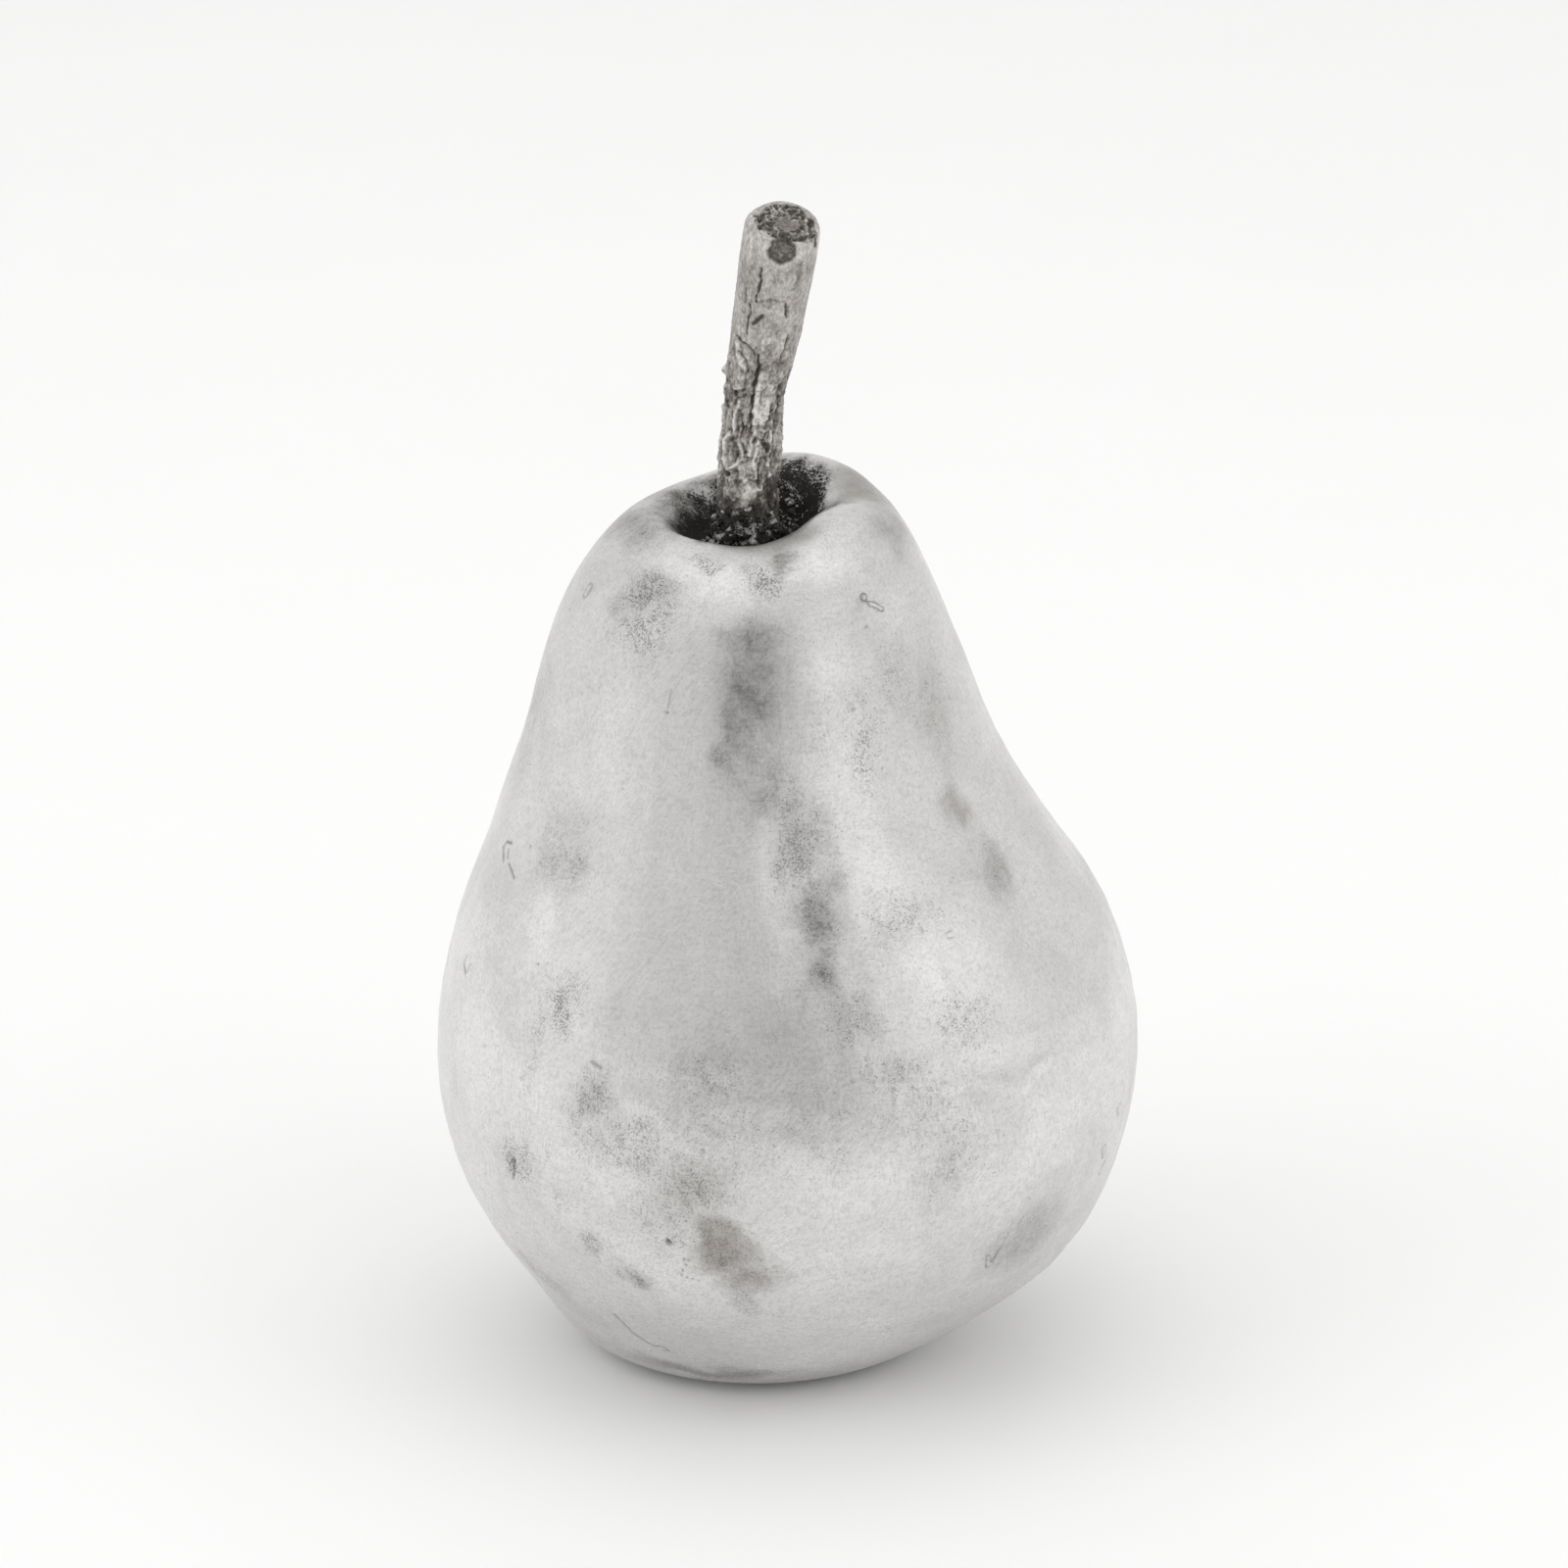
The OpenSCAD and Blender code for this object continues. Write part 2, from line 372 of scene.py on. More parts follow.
def root_grit():
    """Black cement crumbs with bare silver on some of them."""
    s = Shader("root_grit")
    bright = s.field("bright")
    grain = s.noise(0.26, 4, 0.75)
    spark = s.range(s.calc("MULTIPLY_ADD", bright, 0.5, grain), 0.70, 0.92)
    soot = s.mix(s.range(grain, 0.35, 0.65), (0.004, 0.004, 0.0035), (0.035, 0.031, 0.027))
    colour = s.mix(spark, soot, (0.60, 0.59, 0.565))
    return s.finish(Base_Color=colour, Metallic=s.calc("MULTIPLY", spark, 0.95),
                    Roughness=s.range(spark, 0, 1, 0.75, 0.36), Specular_IOR_Level=0.25,
                    Normal=s.bump(grain, 0.14))


def black_felt():
    s = Shader("black_felt")
    fibres = s.noise(0.25, 5, 0.8, stretch=(2.5, 1, 1), distortion=1.2)
    tufts = s.noise(1.8, 3, 0.6)
    colour = s.mix(s.range(fibres, 0.3, 0.75), (0.012, 0.012, 0.014), (0.07, 0.07, 0.076))
    colour = s.mix(s.range(tufts, 0.4, 0.7, 0.0, 0.4), colour, (0.04, 0.04, 0.045))
    return s.finish(Base_Color=colour, Roughness=0.95, Sheen_Weight=0.4, Normal=s.bump(fibres, 0.2))


def cast_filling():
    s = Shader("cast_filling")
    flecks = s.noise(0.7, 4, 0.6)
    colour = s.mix(s.range(flecks, 0.35, 0.7), (0.50, 0.46, 0.39), (0.70, 0.66, 0.58))
    return s.finish(Base_Color=colour, Roughness=0.8, Normal=s.bump(s.noise(0.4, 3), 0.05))


def turned_steel():
    s = Shader("turned_steel")
    rings = s.noise(0.2, 2, 0.5, stretch=(8, 8, 1))
    colour = s.mix(rings, (0.46, 0.46, 0.47), (0.66, 0.66, 0.66))
    return s.finish(Base_Color=colour, Metallic=1.0, Roughness=0.35, Normal=s.bump(rings, 0.01))


def pressed_board():
    s = Shader("pressed_board")
    chips = s.noise(0.9, 4, 0.7)
    colour = s.mix(s.range(chips, 0.3, 0.7), (0.16, 0.15, 0.14), (0.32, 0.30, 0.28))
    return s.finish(Base_Color=colour, Roughness=0.85, Normal=s.bump(chips, 0.08))


# ---------------------------------------------------------------- the skin

# Small marks in the skin. Each is a place (azimuth, height) and strokes drawn from there, as points in
# millimetres to the right and up. Then the stroke's width, its rise, the rise at its sides, and its dirt.
MARKS = [
    (311, 87, [  # the scar under the right shoulder: a bead, a thin leaf, a fold and two pits
        ([(-0.1, 1.1)], 0.22, 0.24, -0.16, 0.95),
        ([(0.3, 0.4), (0.9, 0.2), (1.8, -0.4)], 0.16, 0.18, -0.15, 0.95),
        ([(-1.3, 0.2), (-0.5, 0.9)], 0.5, -0.1, 0.03, 0.22),
        ([(-0.9, -1.6)], 0.18, -0.16, 0.0, 0.8),
        ([(-1.2, -1.7)], 0.13, -0.1, 0.0, 0.6)]),
    (200, 59, [  # a loop on the left edge, with a tail
        ([(0.6, -1.1), (-0.6, -0.1), (-0.2, 0.7), (1.2, 1.0)], 0.15, -0.14, 0.05, 0.8),
        ([(1.3, -0.6), (1.0, 0.3)], 0.13, -0.1, 0.04, 0.65),
        ([(2.2, -0.9), (3.1, -1.3), (4.1, -1.8)], 0.14, -0.12, 0.04, 0.75)]),
    (200, 46, [  # a smaller open loop
        ([(-0.7, 1.2), (-1.0, 0.2), (0.2, -0.4)], 0.13, -0.11, 0.04, 0.7),
        ([(0.9, 0.9), (0.5, -0.1)], 0.12, -0.09, 0.03, 0.4)]),
    (224, 29, [  # the slit low on the left
        ([(0.5, 0.9), (0.2, -0.2), (-0.2, -1.3)], 0.2, -0.34, 0.05, 1.0),
        ([(0.2, 1.0), (-0.5, 0.2), (-0.3, -0.6)], 0.13, -0.16, 0.03, 0.7)]),
    (312, 20, [  # the tick low on the right
        ([(0.5, 1.2), (0.2, -0.3)], 0.15, -0.18, 0.04, 0.7),
        ([(-0.7, 0.4), (-0.3, -0.8), (0.1, -0.7)], 0.17, 0.14, -0.1, 0.45)]),
    (258, 22, [  # the round pit, and the chain of small ones beside it
        ([(-1.4, 2.8)], 0.38, -0.4, 0.04, 1.0),
        ([(0.2, 0.9)], 0.16, -0.14, 0.0, 0.85), ([(0.6, 0.8)], 0.18, -0.15, 0.0, 0.85),
        ([(0.3, 0.2)], 0.15, -0.12, 0.0, 0.75), ([(-0.1, -0.5)], 0.14, -0.1, 0.0, 0.65),
        ([(-0.3, -1.1)], 0.13, -0.1, 0.0, 0.6), ([(0.3, -1.5)], 0.15, -0.12, 0.0, 0.7),
        ([(0.9, -1.6)], 0.13, -0.1, 0.0, 0.6), ([(1.5, -1.8)], 0.13, -0.1, 0.0, 0.6)]),
    (242, 9, [  # the long scratch near the foot, and the ring at its end
        ([(-1.3, 3.2), (-0.3, 0.4), (0.5, -0.4), (1.8, -1.2)], 0.12, -0.1, 0.03, 0.55),
        ([(-0.3, 0.4), (0.5, -0.4)], 0.17, -0.12, 0.0, 0.75),
        ([(2.3, -1.2), (3.0, -1.5)], 0.17, 0.12, -0.09, 0.6)]),
    (340, 30, [  # beads and pits on the right edge
        ([(0.6, 1.6)], 0.2, -0.14, 0.0, 0.7), ([(-0.2, 1.2)], 0.22, 0.14, -0.08, 0.3),
        ([(0.1, 0.5)], 0.2, -0.14, 0.0, 0.6), ([(-3.0, -2.2), (-2.6, -3.2)], 0.22, 0.12, -0.08, 0.4),
        ([(-1.4, -4.6), (-1.7, -5.6)], 0.2, 0.1, -0.08, 0.35)]),
    (307, 55.5, [  # two tiny arcs
        ([(-0.1, 0.3), (0.7, 0.4)], 0.12, -0.08, 0.04, 0.5),
        ([(-0.1, -0.2), (0.5, -0.2)], 0.12, -0.08, 0.04, 0.5)]),
    (247, 78, [  # a pit at the end of a hairline
        ([(0.0, 0.0)], 0.18, -0.16, 0.0, 0.85), ([(0.1, 2.2), (0.0, 0.2)], 0.1, -0.06, 0.0, 0.4)]),
    (200, 86.5, [([(0.0, 0.4), (0.1, -0.3)], 0.26, 0.14, -0.1, 0.4)]),
    (242, 43, [([(-0.3, 0.4), (0.8, 0.0)], 0.2, -0.12, 0.03, 0.5)]),
    (22, 51, [([(-1.2, 1.0), (0.0, -0.4), (1.2, -0.8)], 0.2, 0.16, -0.12, 0.5)]),
    (70, 33, [([(0.0, 1.0), (0.6, -0.6)], 0.22, -0.26, 0.05, 0.8)]),
    (120, 24, [([(-1.2, 0.0), (0.6, -1.0), (1.2, 0.4)], 0.2, 0.14, -0.1, 0.5)]),
    (153, 42, [([(-1.8, 2.0), (0.0, 0.0), (1.8, -0.6)], 0.16, -0.14, 0.03, 0.5)]),
]
# Single pits: azimuth, height, width, dirt.
PITS = [
    (303, 86, 0.13, 0.5), (319, 84, 0.13, 0.5), (194, 84, 0.2, 0.4), (298, 78, 0.18, 0.5),
    (96, 66, 0.24, 0.6), (228, 62, 0.2, 0.5), (263, 62, 0.16, 0.6), (211, 61, 0.2, 0.5),
    (225, 51, 0.22, 0.5), (275, 51, 0.16, 0.5), (262, 36, 0.2, 0.6), (254, 21.5, 0.13, 0.4),
]
# Tarnished places, some partly painted dark reflection: azimuth, height, half-width, half-height, then
# tarnish, speckle and brown.
STAINS = [
    # the dark streak that runs down the neck and bends to the right: partly tarnish, partly a painted dark
    # reflection
    (271, 84, 3, 5, 0.9, 0.3, 0), (271, 80, 3, 4.5, 0.95, 0.4, 0), (275, 80, 3, 4, 0.8, 0.2, 0.2),
    (266, 77, 2.5, 3.5, 0.8, 0.5, 0), (262, 74.5, 1.5, 1.5, 0.7, 0.8, 0), (272, 72.5, 3, 3.5, 0.65, 0.6, 0),
    (278, 69.5, 3, 3.5, 0.4, 0.7, 0), (280, 65.5, 3, 4.5, 0.45, 0.9, 0), (282, 59.5, 3, 5, 0.85, 0.8, 0),
    (283, 53.5, 2.5, 4.5, 0.75, 0.9, 0), (286, 49, 3, 3, 0.35, 0.8, 0),
    # the grey belly, partly tarnish and partly a painted dark reflection, and the brown patch under it
    (274, 41.5, 16, 8, 0.36, 0.4, 0), (263, 43.5, 4.5, 4, 0.35, 0.7, 0.2), (294, 44, 4, 3, 0.3, 0.6, 0),
    (261, 31.5, 5, 5, 0.45, 0.7, 0.4), (250, 35.5, 6, 4, 0.3, 0.6, 0), (264, 24.5, 3, 3, 1.0, 0.7, 0.9),
    (269, 21, 3, 2.5, 0.75, 0.6, 0.7), (271, 17.5, 2.5, 2.5, 0.3, 0.6, 0), (302, 34, 5, 5, 0.25, 0.4, 0),
    (256, 27, 6, 4, 0.25, 0.5, 0), (298, 40, 6, 4, 0.25, 0.4, 0),
    # the left side
    (221, 61.5, 3.5, 5, 0.3, 0.6, 0), (233, 48, 2.5, 2.5, 0.15, 1.0, 0), (229, 42.5, 1.5, 5.5, 0.1, 0.9, 0),
    (241, 39.5, 2.5, 3.5, 0.4, 0.8, 0), (225, 30, 3, 4, 0.1, 0.8, 0), (236, 26, 1.5, 2, 0.2, 1.0, 0),
    (241, 22.5, 2, 1.5, 0.25, 1.0, 0), (247, 19.5, 2.5, 1.5, 0.65, 1.0, 0), (218, 14, 4, 2.5, 0.2, 0.7, 0),
    (258, 4.5, 9, 1.5, 0.7, 0.8, 0.2),
    # the right side
    (316, 80, 2.5, 5, 0.15, 0.5, 0), (283, 77, 3, 5, 0.2, 0.3, 0), (326, 76, 3.5, 6, 0.2, 0.4, 0.3),
    (300, 74, 3, 6, 0.05, 0.8, 0), (323, 66, 2, 3.5, 0.4, 0.4, 0.9), (326, 60, 2, 3.5, 0.4, 0.5, 0.3),
    (300, 57.5, 4.5, 3, 0.05, 0.6, 0), (306, 47, 4, 3, 0.05, 0.7, 0), (318, 22, 6, 4, 0.4, 0.4, 0.2),
    # round the lip
    (229, 88.5, 3.5, 2, 0.25, 1.0, 0.1), (236, 85.5, 4, 3.5, 0.05, 0.9, 0), (249, 92, 2, 1, 0.15, 1.4, 0),
    (279, 91, 2.5, 2, 0.2, 1.1, 0), (276, 92.5, 2, 1, 0.5, 0.8, 0), (289, 92.5, 1.5, 1.5, 0.9, 0.5, 0.3),
    (12, 94.5, 4, 2.5, 0.75, 0.3, 1.0), (30, 94.5, 4, 2, 0.6, 0.6, 1.0), (150, 92.5, 4, 2, 0.5, 0.8, 0.2),
    (181, 92, 5, 2.5, 0.55, 0.8, 0.4), (204, 92.5, 4, 2, 0.5, 0.8, 0.3),
    (350, 93.5, 4, 2.5, 0.35, 0.3, 0.3), (338, 93.5, 3, 2, 0.45, 0.4, 0.3),
]
BACK_STAINS = 18  # more of them round the rest of the fruit
# Places rubbed bright again, partly painted highlights: azimuth, height, half-width, half-height, amount.
POLISH_AND_HIGHLIGHTS = [
    (255, 91, 6, 2.5, 1.0), (240, 91, 4, 1.5, 1.0), (300, 92, 5, 2, 1.0), (318, 86, 3.5, 4, 0.35),
    (307, 52.5, 6.5, 8.5, 1.0), (225, 53.5, 4, 5, 0.9), (305, 40.5, 3, 0.7, 0.9), (318, 40, 3.5, 0.7, 0.8),
    (232, 72, 2.5, 10, 0.4), (209, 40, 3, 10, 0.4), (262, 62, 4.5, 7, 0.2), (60, 60, 6, 12, 0.3),
    (120, 50, 8, 9, 0.3), (160, 80, 6, 6, 0.4), (290, 8, 12, 6, 0.9), (232, 50, 5, 6, 0.6),
    (297, 61, 8, 4, 0.7),
]
SKIN_GRID = 116    # squares along each edge of the skin's six grids
HOLE_R = 4.6       # the stem's hole in the hollow's floor, which the skin closes under the stem
STEEP = 0.9        # an upward share of a direction above this looks into the hollow, or at the foot
MARK_REACH = 9     # no mark reaches further than this from its first point
UNDER_CAD = 0.06  # the skin lies this far under the shell's own surface, to keep inside its box
# The fruit's unevenness: azimuth, height, rise, half-width across, half-height. Millimetres.
RELIEF = [
    (304, 54, 0.75, 8, 11), (282, 62, -0.45, 4.5, 12), (262, 62, 0.4, 7, 13), (272, 79, -0.25, 4, 8),
    (308, 42.2, -0.22, 7, 1.6), (311, 45.5, 0.12, 6, 1.6), (296, 84, 0.35, 6, 7), (250, 82, 0.3, 6, 8),
    (230, 44, 0.3, 8, 9), (243, 33, -0.28, 8, 7), (255, 17, 0.3, 10, 6), (226, 62, -0.3, 5, 8),
    (329, 64, -0.35, 4, 9), (292, 28, 0.35, 9, 8), (266, 40, -0.25, 7, 7), (60, 50, 0.5, 9, 14),
    (95, 62, -0.4, 7, 12), (140, 54, 0.4, 9, 12), (110, 30, -0.35, 10, 8),
]
# The hollow's grime: azimuth, how far out it reaches, and how strong its smears are beyond that.
GRIME_EDGE = [
    (0, 7.6, 0.45), (20, 8.0, 0.4), (36, 9.6, 0.25), (52, 10.0, 0.15), (76, 9.4, 0.2), (127, 9.0, 0.8),
    (160, 8.4, 1.4), (200, 8.4, 1.1), (235, 8.6, 0.6), (262, 8.4, 0.2), (300, 8.2, 0.25),
    (335, 7.4, 0.4), (360, 7.6, 0.45),
]


def ball_grid(n):
    """A ball's surface as 6 n by n grids of nearly equal squares: directions and squares."""
    step = np.tan(np.linspace(-math.pi / 4, math.pi / 4, n + 1))
    a, b = np.meshgrid(step, step, indexing="ij")
    unit = np.eye(3)
    points, quads = [], []
    corner = np.arange((n + 1) ** 2).reshape(n + 1, n + 1)
    square = np.stack([corner[:-1, :-1], corner[1:, :-1], corner[1:, 1:], corner[:-1, 1:]], -1).reshape(-1, 4)
    for k in range(3):
        for sign in (1, -1):
            u, v = unit[(k + 1) % 3], sign * unit[(k + 2) % 3]
            quads.append(square + len(points) * (n + 1) ** 2)
            points.append((sign * unit[k] + a[..., None] * u + b[..., None] * v).reshape(-1, 3))
    points = np.concatenate(points)
    points /= np.linalg.norm(points, axis=1)[:, None]
    _, first, same = np.unique(np.round(points, 6), axis=0, return_index=True, return_inverse=True)
    return points[first], same.reshape(-1)[np.concatenate(quads)]


def draped_skin(n):
    """The CAD skin as a fine closed net: its points in millimetres, and its squares."""
    ways, quads = ball_grid(n)
    reach = np.array([RAY_START - cast(skin_tree, HEART + RAY_START * w, -w, 0.085) for w in ways])
    points = HEART + reach[:, None] * ways
    flat = np.hypot(points[:, 0], points[:, 1])
    socket = np.isnan(reach) | ((ways[:, 2] > STEEP) & (flat < HOLE_R))
    floor = np.nanmedian(points[(ways[:, 2] > STEEP) & (flat > HOLE_R + 0.1) & (flat < HOLE_R + 0.7), 2])
    reach[socket] = (floor - HEART[2]) / ways[socket, 2]
    under = (ways[:, 2] < -STEEP) & (flat < PAD_HIGH[0] + 0.9)
    reach[under] = (PAD_HIGH[2] - HEART[2]) / ways[under, 2]
    pairs = neighbour_pairs(quads)
    smooth = relax(reach, pairs, 9)
    keep = ease(1.5, 3.5, np.abs(flat - PAD_HIGH[0])) if under.any() else 1.0
    reach = np.where(ways[:, 2] < -STEEP, reach + (smooth - reach) * keep, smooth)
    return HEART + reach[:, None] * ways, quads


def refine_near(piece, strokes, reach):
    """Divides the squares near the strokes into 16, so that small marks have real shape."""
    mesh = bmesh.new()
    mesh.from_mesh(piece.data)
    centres = np.array([f.calc_center_median() for f in mesh.faces]) / MM
    near = np.zeros(len(centres), bool)
    for line, width, *_ in strokes:
        close = np.linalg.norm(centres - line[0], axis=1) < MARK_REACH - 1
        near[close] |= distance_to_path(centres[close], line) < width * reach + 0.45
    mesh.faces.ensure_lookup_table()
    edges = {e for i in np.nonzero(near)[0] for e in mesh.faces[i].edges}
    bmesh.ops.subdivide_edges(mesh, edges=list(edges), cuts=3, use_grid_fill=True)
    mesh.to_mesh(piece.data)
    mesh.free()


def mark_strokes():
    """Every stroke of the marks, and every pit, as points on the skin and its four sizes."""
    strokes = []
    for azimuth, height, drawn in MARKS:
        a_millimetre = math.degrees(1 / np.hypot(*on_skin(azimuth, height)[:2]))
        for steps, *sizes in drawn:
            line = [on_skin(azimuth + right * a_millimetre, height + up) for right, up in steps]
            strokes.append((line, *sizes))
    for azimuth, height, width, dirt in PITS:
        strokes.append(([on_skin(azimuth, height)], width, -0.7 * width, 0.0, dirt))
    return strokes


def marks_on(points, strokes):
    """How far the marks move each point outwards, and how dark they make it."""
    rise, dark = np.zeros(len(points)), np.zeros(len(points))
    for line, width, height, groove, dirt in strokes:
        near = np.nonzero(np.linalg.norm(points - line[0], axis=1) < MARK_REACH)[0]
        ragged = 1 + 0.35 * cloud(points[near], 0.7, 2, 3)
        d = distance_to_path(points[near], line) / (width * ragged)
        crest, side = bell(d), bell(d - 1.6, 0.55)
        rise[near] += height * crest + groove * side
        crevice = crest if height < 0 else side
        dark[near] = np.maximum(dark[near], 0.75 * dirt * crevice)
    return rise, dark


def patches_on(points, patches):
    """The strongest of several soft oval patches at each point, for each of their amounts."""
    fields = np.zeros((len(patches[0]) - 4, len(points)))
    for azimuth, height, across, tall, *amounts in patches:
        away = points - on_skin(azimuth, height)
        side = np.hypot(away[:, 0], away[:, 1])
        d = (side / across) ** 2 + (away[:, 2] / tall) ** 2
        fields = np.maximum(fields, np.array(amounts)[:, None] * np.exp(-d ** 1.3))
    return fields


def stains_on(points):
    """Tarnish with painted dark reflections, speckle, brown, and polish with painted highlights at each
    point, in ragged patches with brushed streaks.
    """
    patches = list(STAINS)
    for _ in range(BACK_STAINS):
        wide = rng.uniform(2.5, 9)
        place = rng.uniform(-10, 190), rng.uniform(8, 86)
        amounts = rng.uniform(0.9, 1.8) / (wide + 1), rng.uniform(0.3, 0.8), rng.choice((0.0, 0.0, 0.4))
        patches.append((*place, wide, wide * rng.uniform(0.7, 1.7), *amounts))
    torn = 2.4 * np.stack([cloud(points, 7.0, 5, seed) for seed in (5, 15, 25)], 1)
    streaks = 1 + 0.26 * cloud(points * [1, 1, 0.3], 0.9, 3, 7)
    tarnish_and_shade, speckle, brown = patches_on(points + torn, patches)
    return tarnish_and_shade * streaks, speckle * streaks, brown, patches_on(points + torn, POLISH_AND_HIGHLIGHTS)[0]


def relief_on(points):
    """Broad unevenness of a cast fruit: named swells and hollows, and soft random ones."""
    rise = 0.12 * cloud(points, 13, 2, 1) + 0.055 * cloud(points, 5, 2, 2) + 0.014 * cloud(points, 1.6, 2, 4)
    for azimuth, height, amount, across, tall in RELIEF:
        centre = on_skin(azimuth, height)
        away = points - centre
        side = np.hypot(away[:, 0], away[:, 1])
        rise += amount * np.exp(-(side / across) ** 2 - (away[:, 2] / tall) ** 2)
    return rise


def past_edge(points):
    """How far each point lies outside the hollow's grime, in millimetres, and the smears' strength there."""
    azimuth = np.degrees(np.arctan2(points[:, 1], points[:, 0])) % 360
    turns, reach, smear = zip(*GRIME_EDGE)
    past = np.hypot(points[:, 0], points[:, 1]) - np.interp(azimuth, turns, reach)
    return past, np.interp(azimuth, turns, smear)


def build_skin():
    """The fruit's skin, with its marks and relief in the mesh and its stains, painted dark reflections and
    painted highlights as fields.
    """
    points, quads = draped_skin(SKIN_GRID)
    piece = new_object("silver_skin", points, quads, antiqued_silver())
    strokes = mark_strokes()
    refine_near(piece, strokes, 2.4)
    mesh = piece.data
    points, normals = vertex_array(mesh), normal_array(mesh)
    ragged = cloud(points, 2.2, 5, 6)
    top = ease(85, 89, points[:, 2])
    edge, smear = past_edge(points)
    grime = ease(2.4, -2.2, edge + 1.5 * ragged) * top
    soot = ease(1, -0.3, (edge + 2.2 * ragged) / (1.6 + 2.6 * smear)) * (0.4 + 0.5 * smear) * top
    soot *= 1 + 0.8 * cloud(points, 3.0, 4, 9)
    rise, dark = marks_on(points, strokes)
    rise += relief_on(points) * ease(1.6, 4.0, points[:, 2]) * (1 - 0.7 * grime) - UNDER_CAD
    rise += grime * 0.12 * cloud(points, 0.8, 4, 8)
    tarnish_and_shade, speckle, brown, polish_and_highlight = stains_on(points)
    tarnish_and_shade = np.maximum(tarnish_and_shade, soot)
    # painted shade: darker towards the bottom, dimming the floor's reflection in the lower belly
    tarnish_and_shade = np.maximum(tarnish_and_shade, 0.06 * ease(46, 26, points[:, 2]))
    speckle = np.maximum(speckle, 1.5 * soot)
    brown = np.maximum(brown, 0.5 * soot)
    move_vertices(mesh, points + normals * rise[:, None])
    for name, values in (("dirt", dark), ("tarnish_and_shade", tarnish_and_shade), ("speckle", speckle), ("grime", grime),
                         ("brown", brown), ("polish_and_highlight", polish_and_highlight * (1 - grime))):
        write_field(mesh, name, values)
    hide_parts("silver_shell")
    return piece


# ---------------------------------------------------------------- the stem

STEM_LOW = 89.0      # the bark starts inside the hollow
STEM_TURNS = 210     # points round the stem
STEM_RINGS = 370
CAP_RINGS = 44
CAP_RISE = 1.1       # the cut face stands this far above the last ring of the side
BLUR = 12            # the CAD facets are smoothed over this many points each way
FACE_SHARE = 0.8     # the cut face's radius, as a share of the stem's
BEVEL_SHARE = 0.35   # the share of the cap's rings that go round its worn edge
BARK_R = 3.5         # the bark is unrolled at this radius
# Cracks in the bark: points of azimuth round the stem and height, then width, depth and darkness.
CRACKS = [
    ([(242, 120.9), (247, 119.8), (243, 119.1), (246, 117.3)], 0.13, 0.32, 0.95),
    ([(235, 116.9), (238, 115.9), (235, 114.5), (239, 113.3)], 0.1, 0.26, 0.75),
    ([(221, 118.4), (225, 117.1)], 0.2, 0.16, 0.6),
    ([(258, 115.6), (246, 114.8)], 0.24, 0.24, 0.85),
    ([(292, 117.1), (294, 116.3), (298, 115.5)], 0.12, 0.28, 0.85),
    ([(304, 121.6), (305, 119.8), (299, 118.6)], 0.3, 0.1, 0.35),
    ([(250, 117.3), (268, 117.5), (290, 117.3)], 0.16, 0.08, 0.3),
    ([(217, 113.2), (233, 112.6), (255, 111.7), (262, 110.4)], 0.13, 0.22, 0.7),
    ([(226, 111.6), (243, 110.8), (250, 109.4)], 0.12, 0.2, 0.65),
    ([(265, 111.3), (268, 110.2), (266, 108.4)], 0.18, 0.24, 0.7),
    ([(310, 113.4), (306, 111.0), (309, 109.2)], 0.14, 0.22, 0.65),
    ([(308, 105.6), (305, 104.0), (298, 103.0)], 0.26, 0.32, 0.9),
    ([(302, 102.7), (296, 101.6), (310, 100.4)], 0.26, 0.26, 0.75),
    ([(264, 108.2), (269, 106.2), (267, 104.6), (272, 102.6)], 0.15, 0.26, 0.75),
    ([(292, 99.8), (288, 98.0), (293, 96.6)], 0.18, 0.24, 0.7),
    ([(320, 107.6), (326, 105.4), (322, 102.8)], 0.2, 0.26, 0.75),
    ([(255, 103.8), (252, 102.0), (262, 100.6)], 0.14, 0.22, 0.65),
    ([(30, 98), (24, 103), (30, 108)], 0.2, 0.32, 0.8), ([(62, 104), (66, 109), (60, 114)], 0.2, 0.3, 0.8),
    ([(96, 96), (90, 101), (95, 105)], 0.24, 0.34, 0.8),
    ([(124, 108), (130, 112), (126, 117)], 0.16, 0.28, 0.8),
    ([(150, 98), (145, 104), (150, 110)], 0.22, 0.32, 0.8),
    ([(172, 112), (178, 115), (174, 118)], 0.14, 0.26, 0.8),
    ([(12, 111), (16, 114), (11, 118)], 0.14, 0.26, 0.8),
    ([(350, 112), (344, 115), (348, 119)], 0.14, 0.24, 0.8),
]
# Raised threads of bark, in the same way: points, width, rise and paleness.
THREADS = [
    ([(228, 102.3), (217, 101.6), (217, 99.6), (232, 98.5), (250, 99.3), (258, 100.4)], 0.24, 0.34, 0.35),
    ([(276, 109.2), (273, 105.8), (276, 102.6), (270, 100.2)], 0.22, 0.18, 0.3),
    ([(311, 102.6), (314, 100.8), (308, 99.2), (316, 97.6)], 0.16, 0.2, 0.35),
    ([(284, 101.8), (280, 99.6), (284, 97.8)], 0.16, 0.2, 0.3),
    ([(240, 106.0), (236, 104.0), (240, 102.4)], 0.2, 0.18, 0.25),
    ([(222, 112.4), (230, 110.6), (244, 109.8)], 0.22, 0.18, 0.22),
    ([(200, 105.2), (204, 103.0), (198, 100.4)], 0.26, 0.26, 0.25),
    ([(80, 112), (76, 107), (82, 102)], 0.26, 0.26, 0.3),
    ([(140, 103), (134, 98), (140, 94)], 0.28, 0.28, 0.3),
]
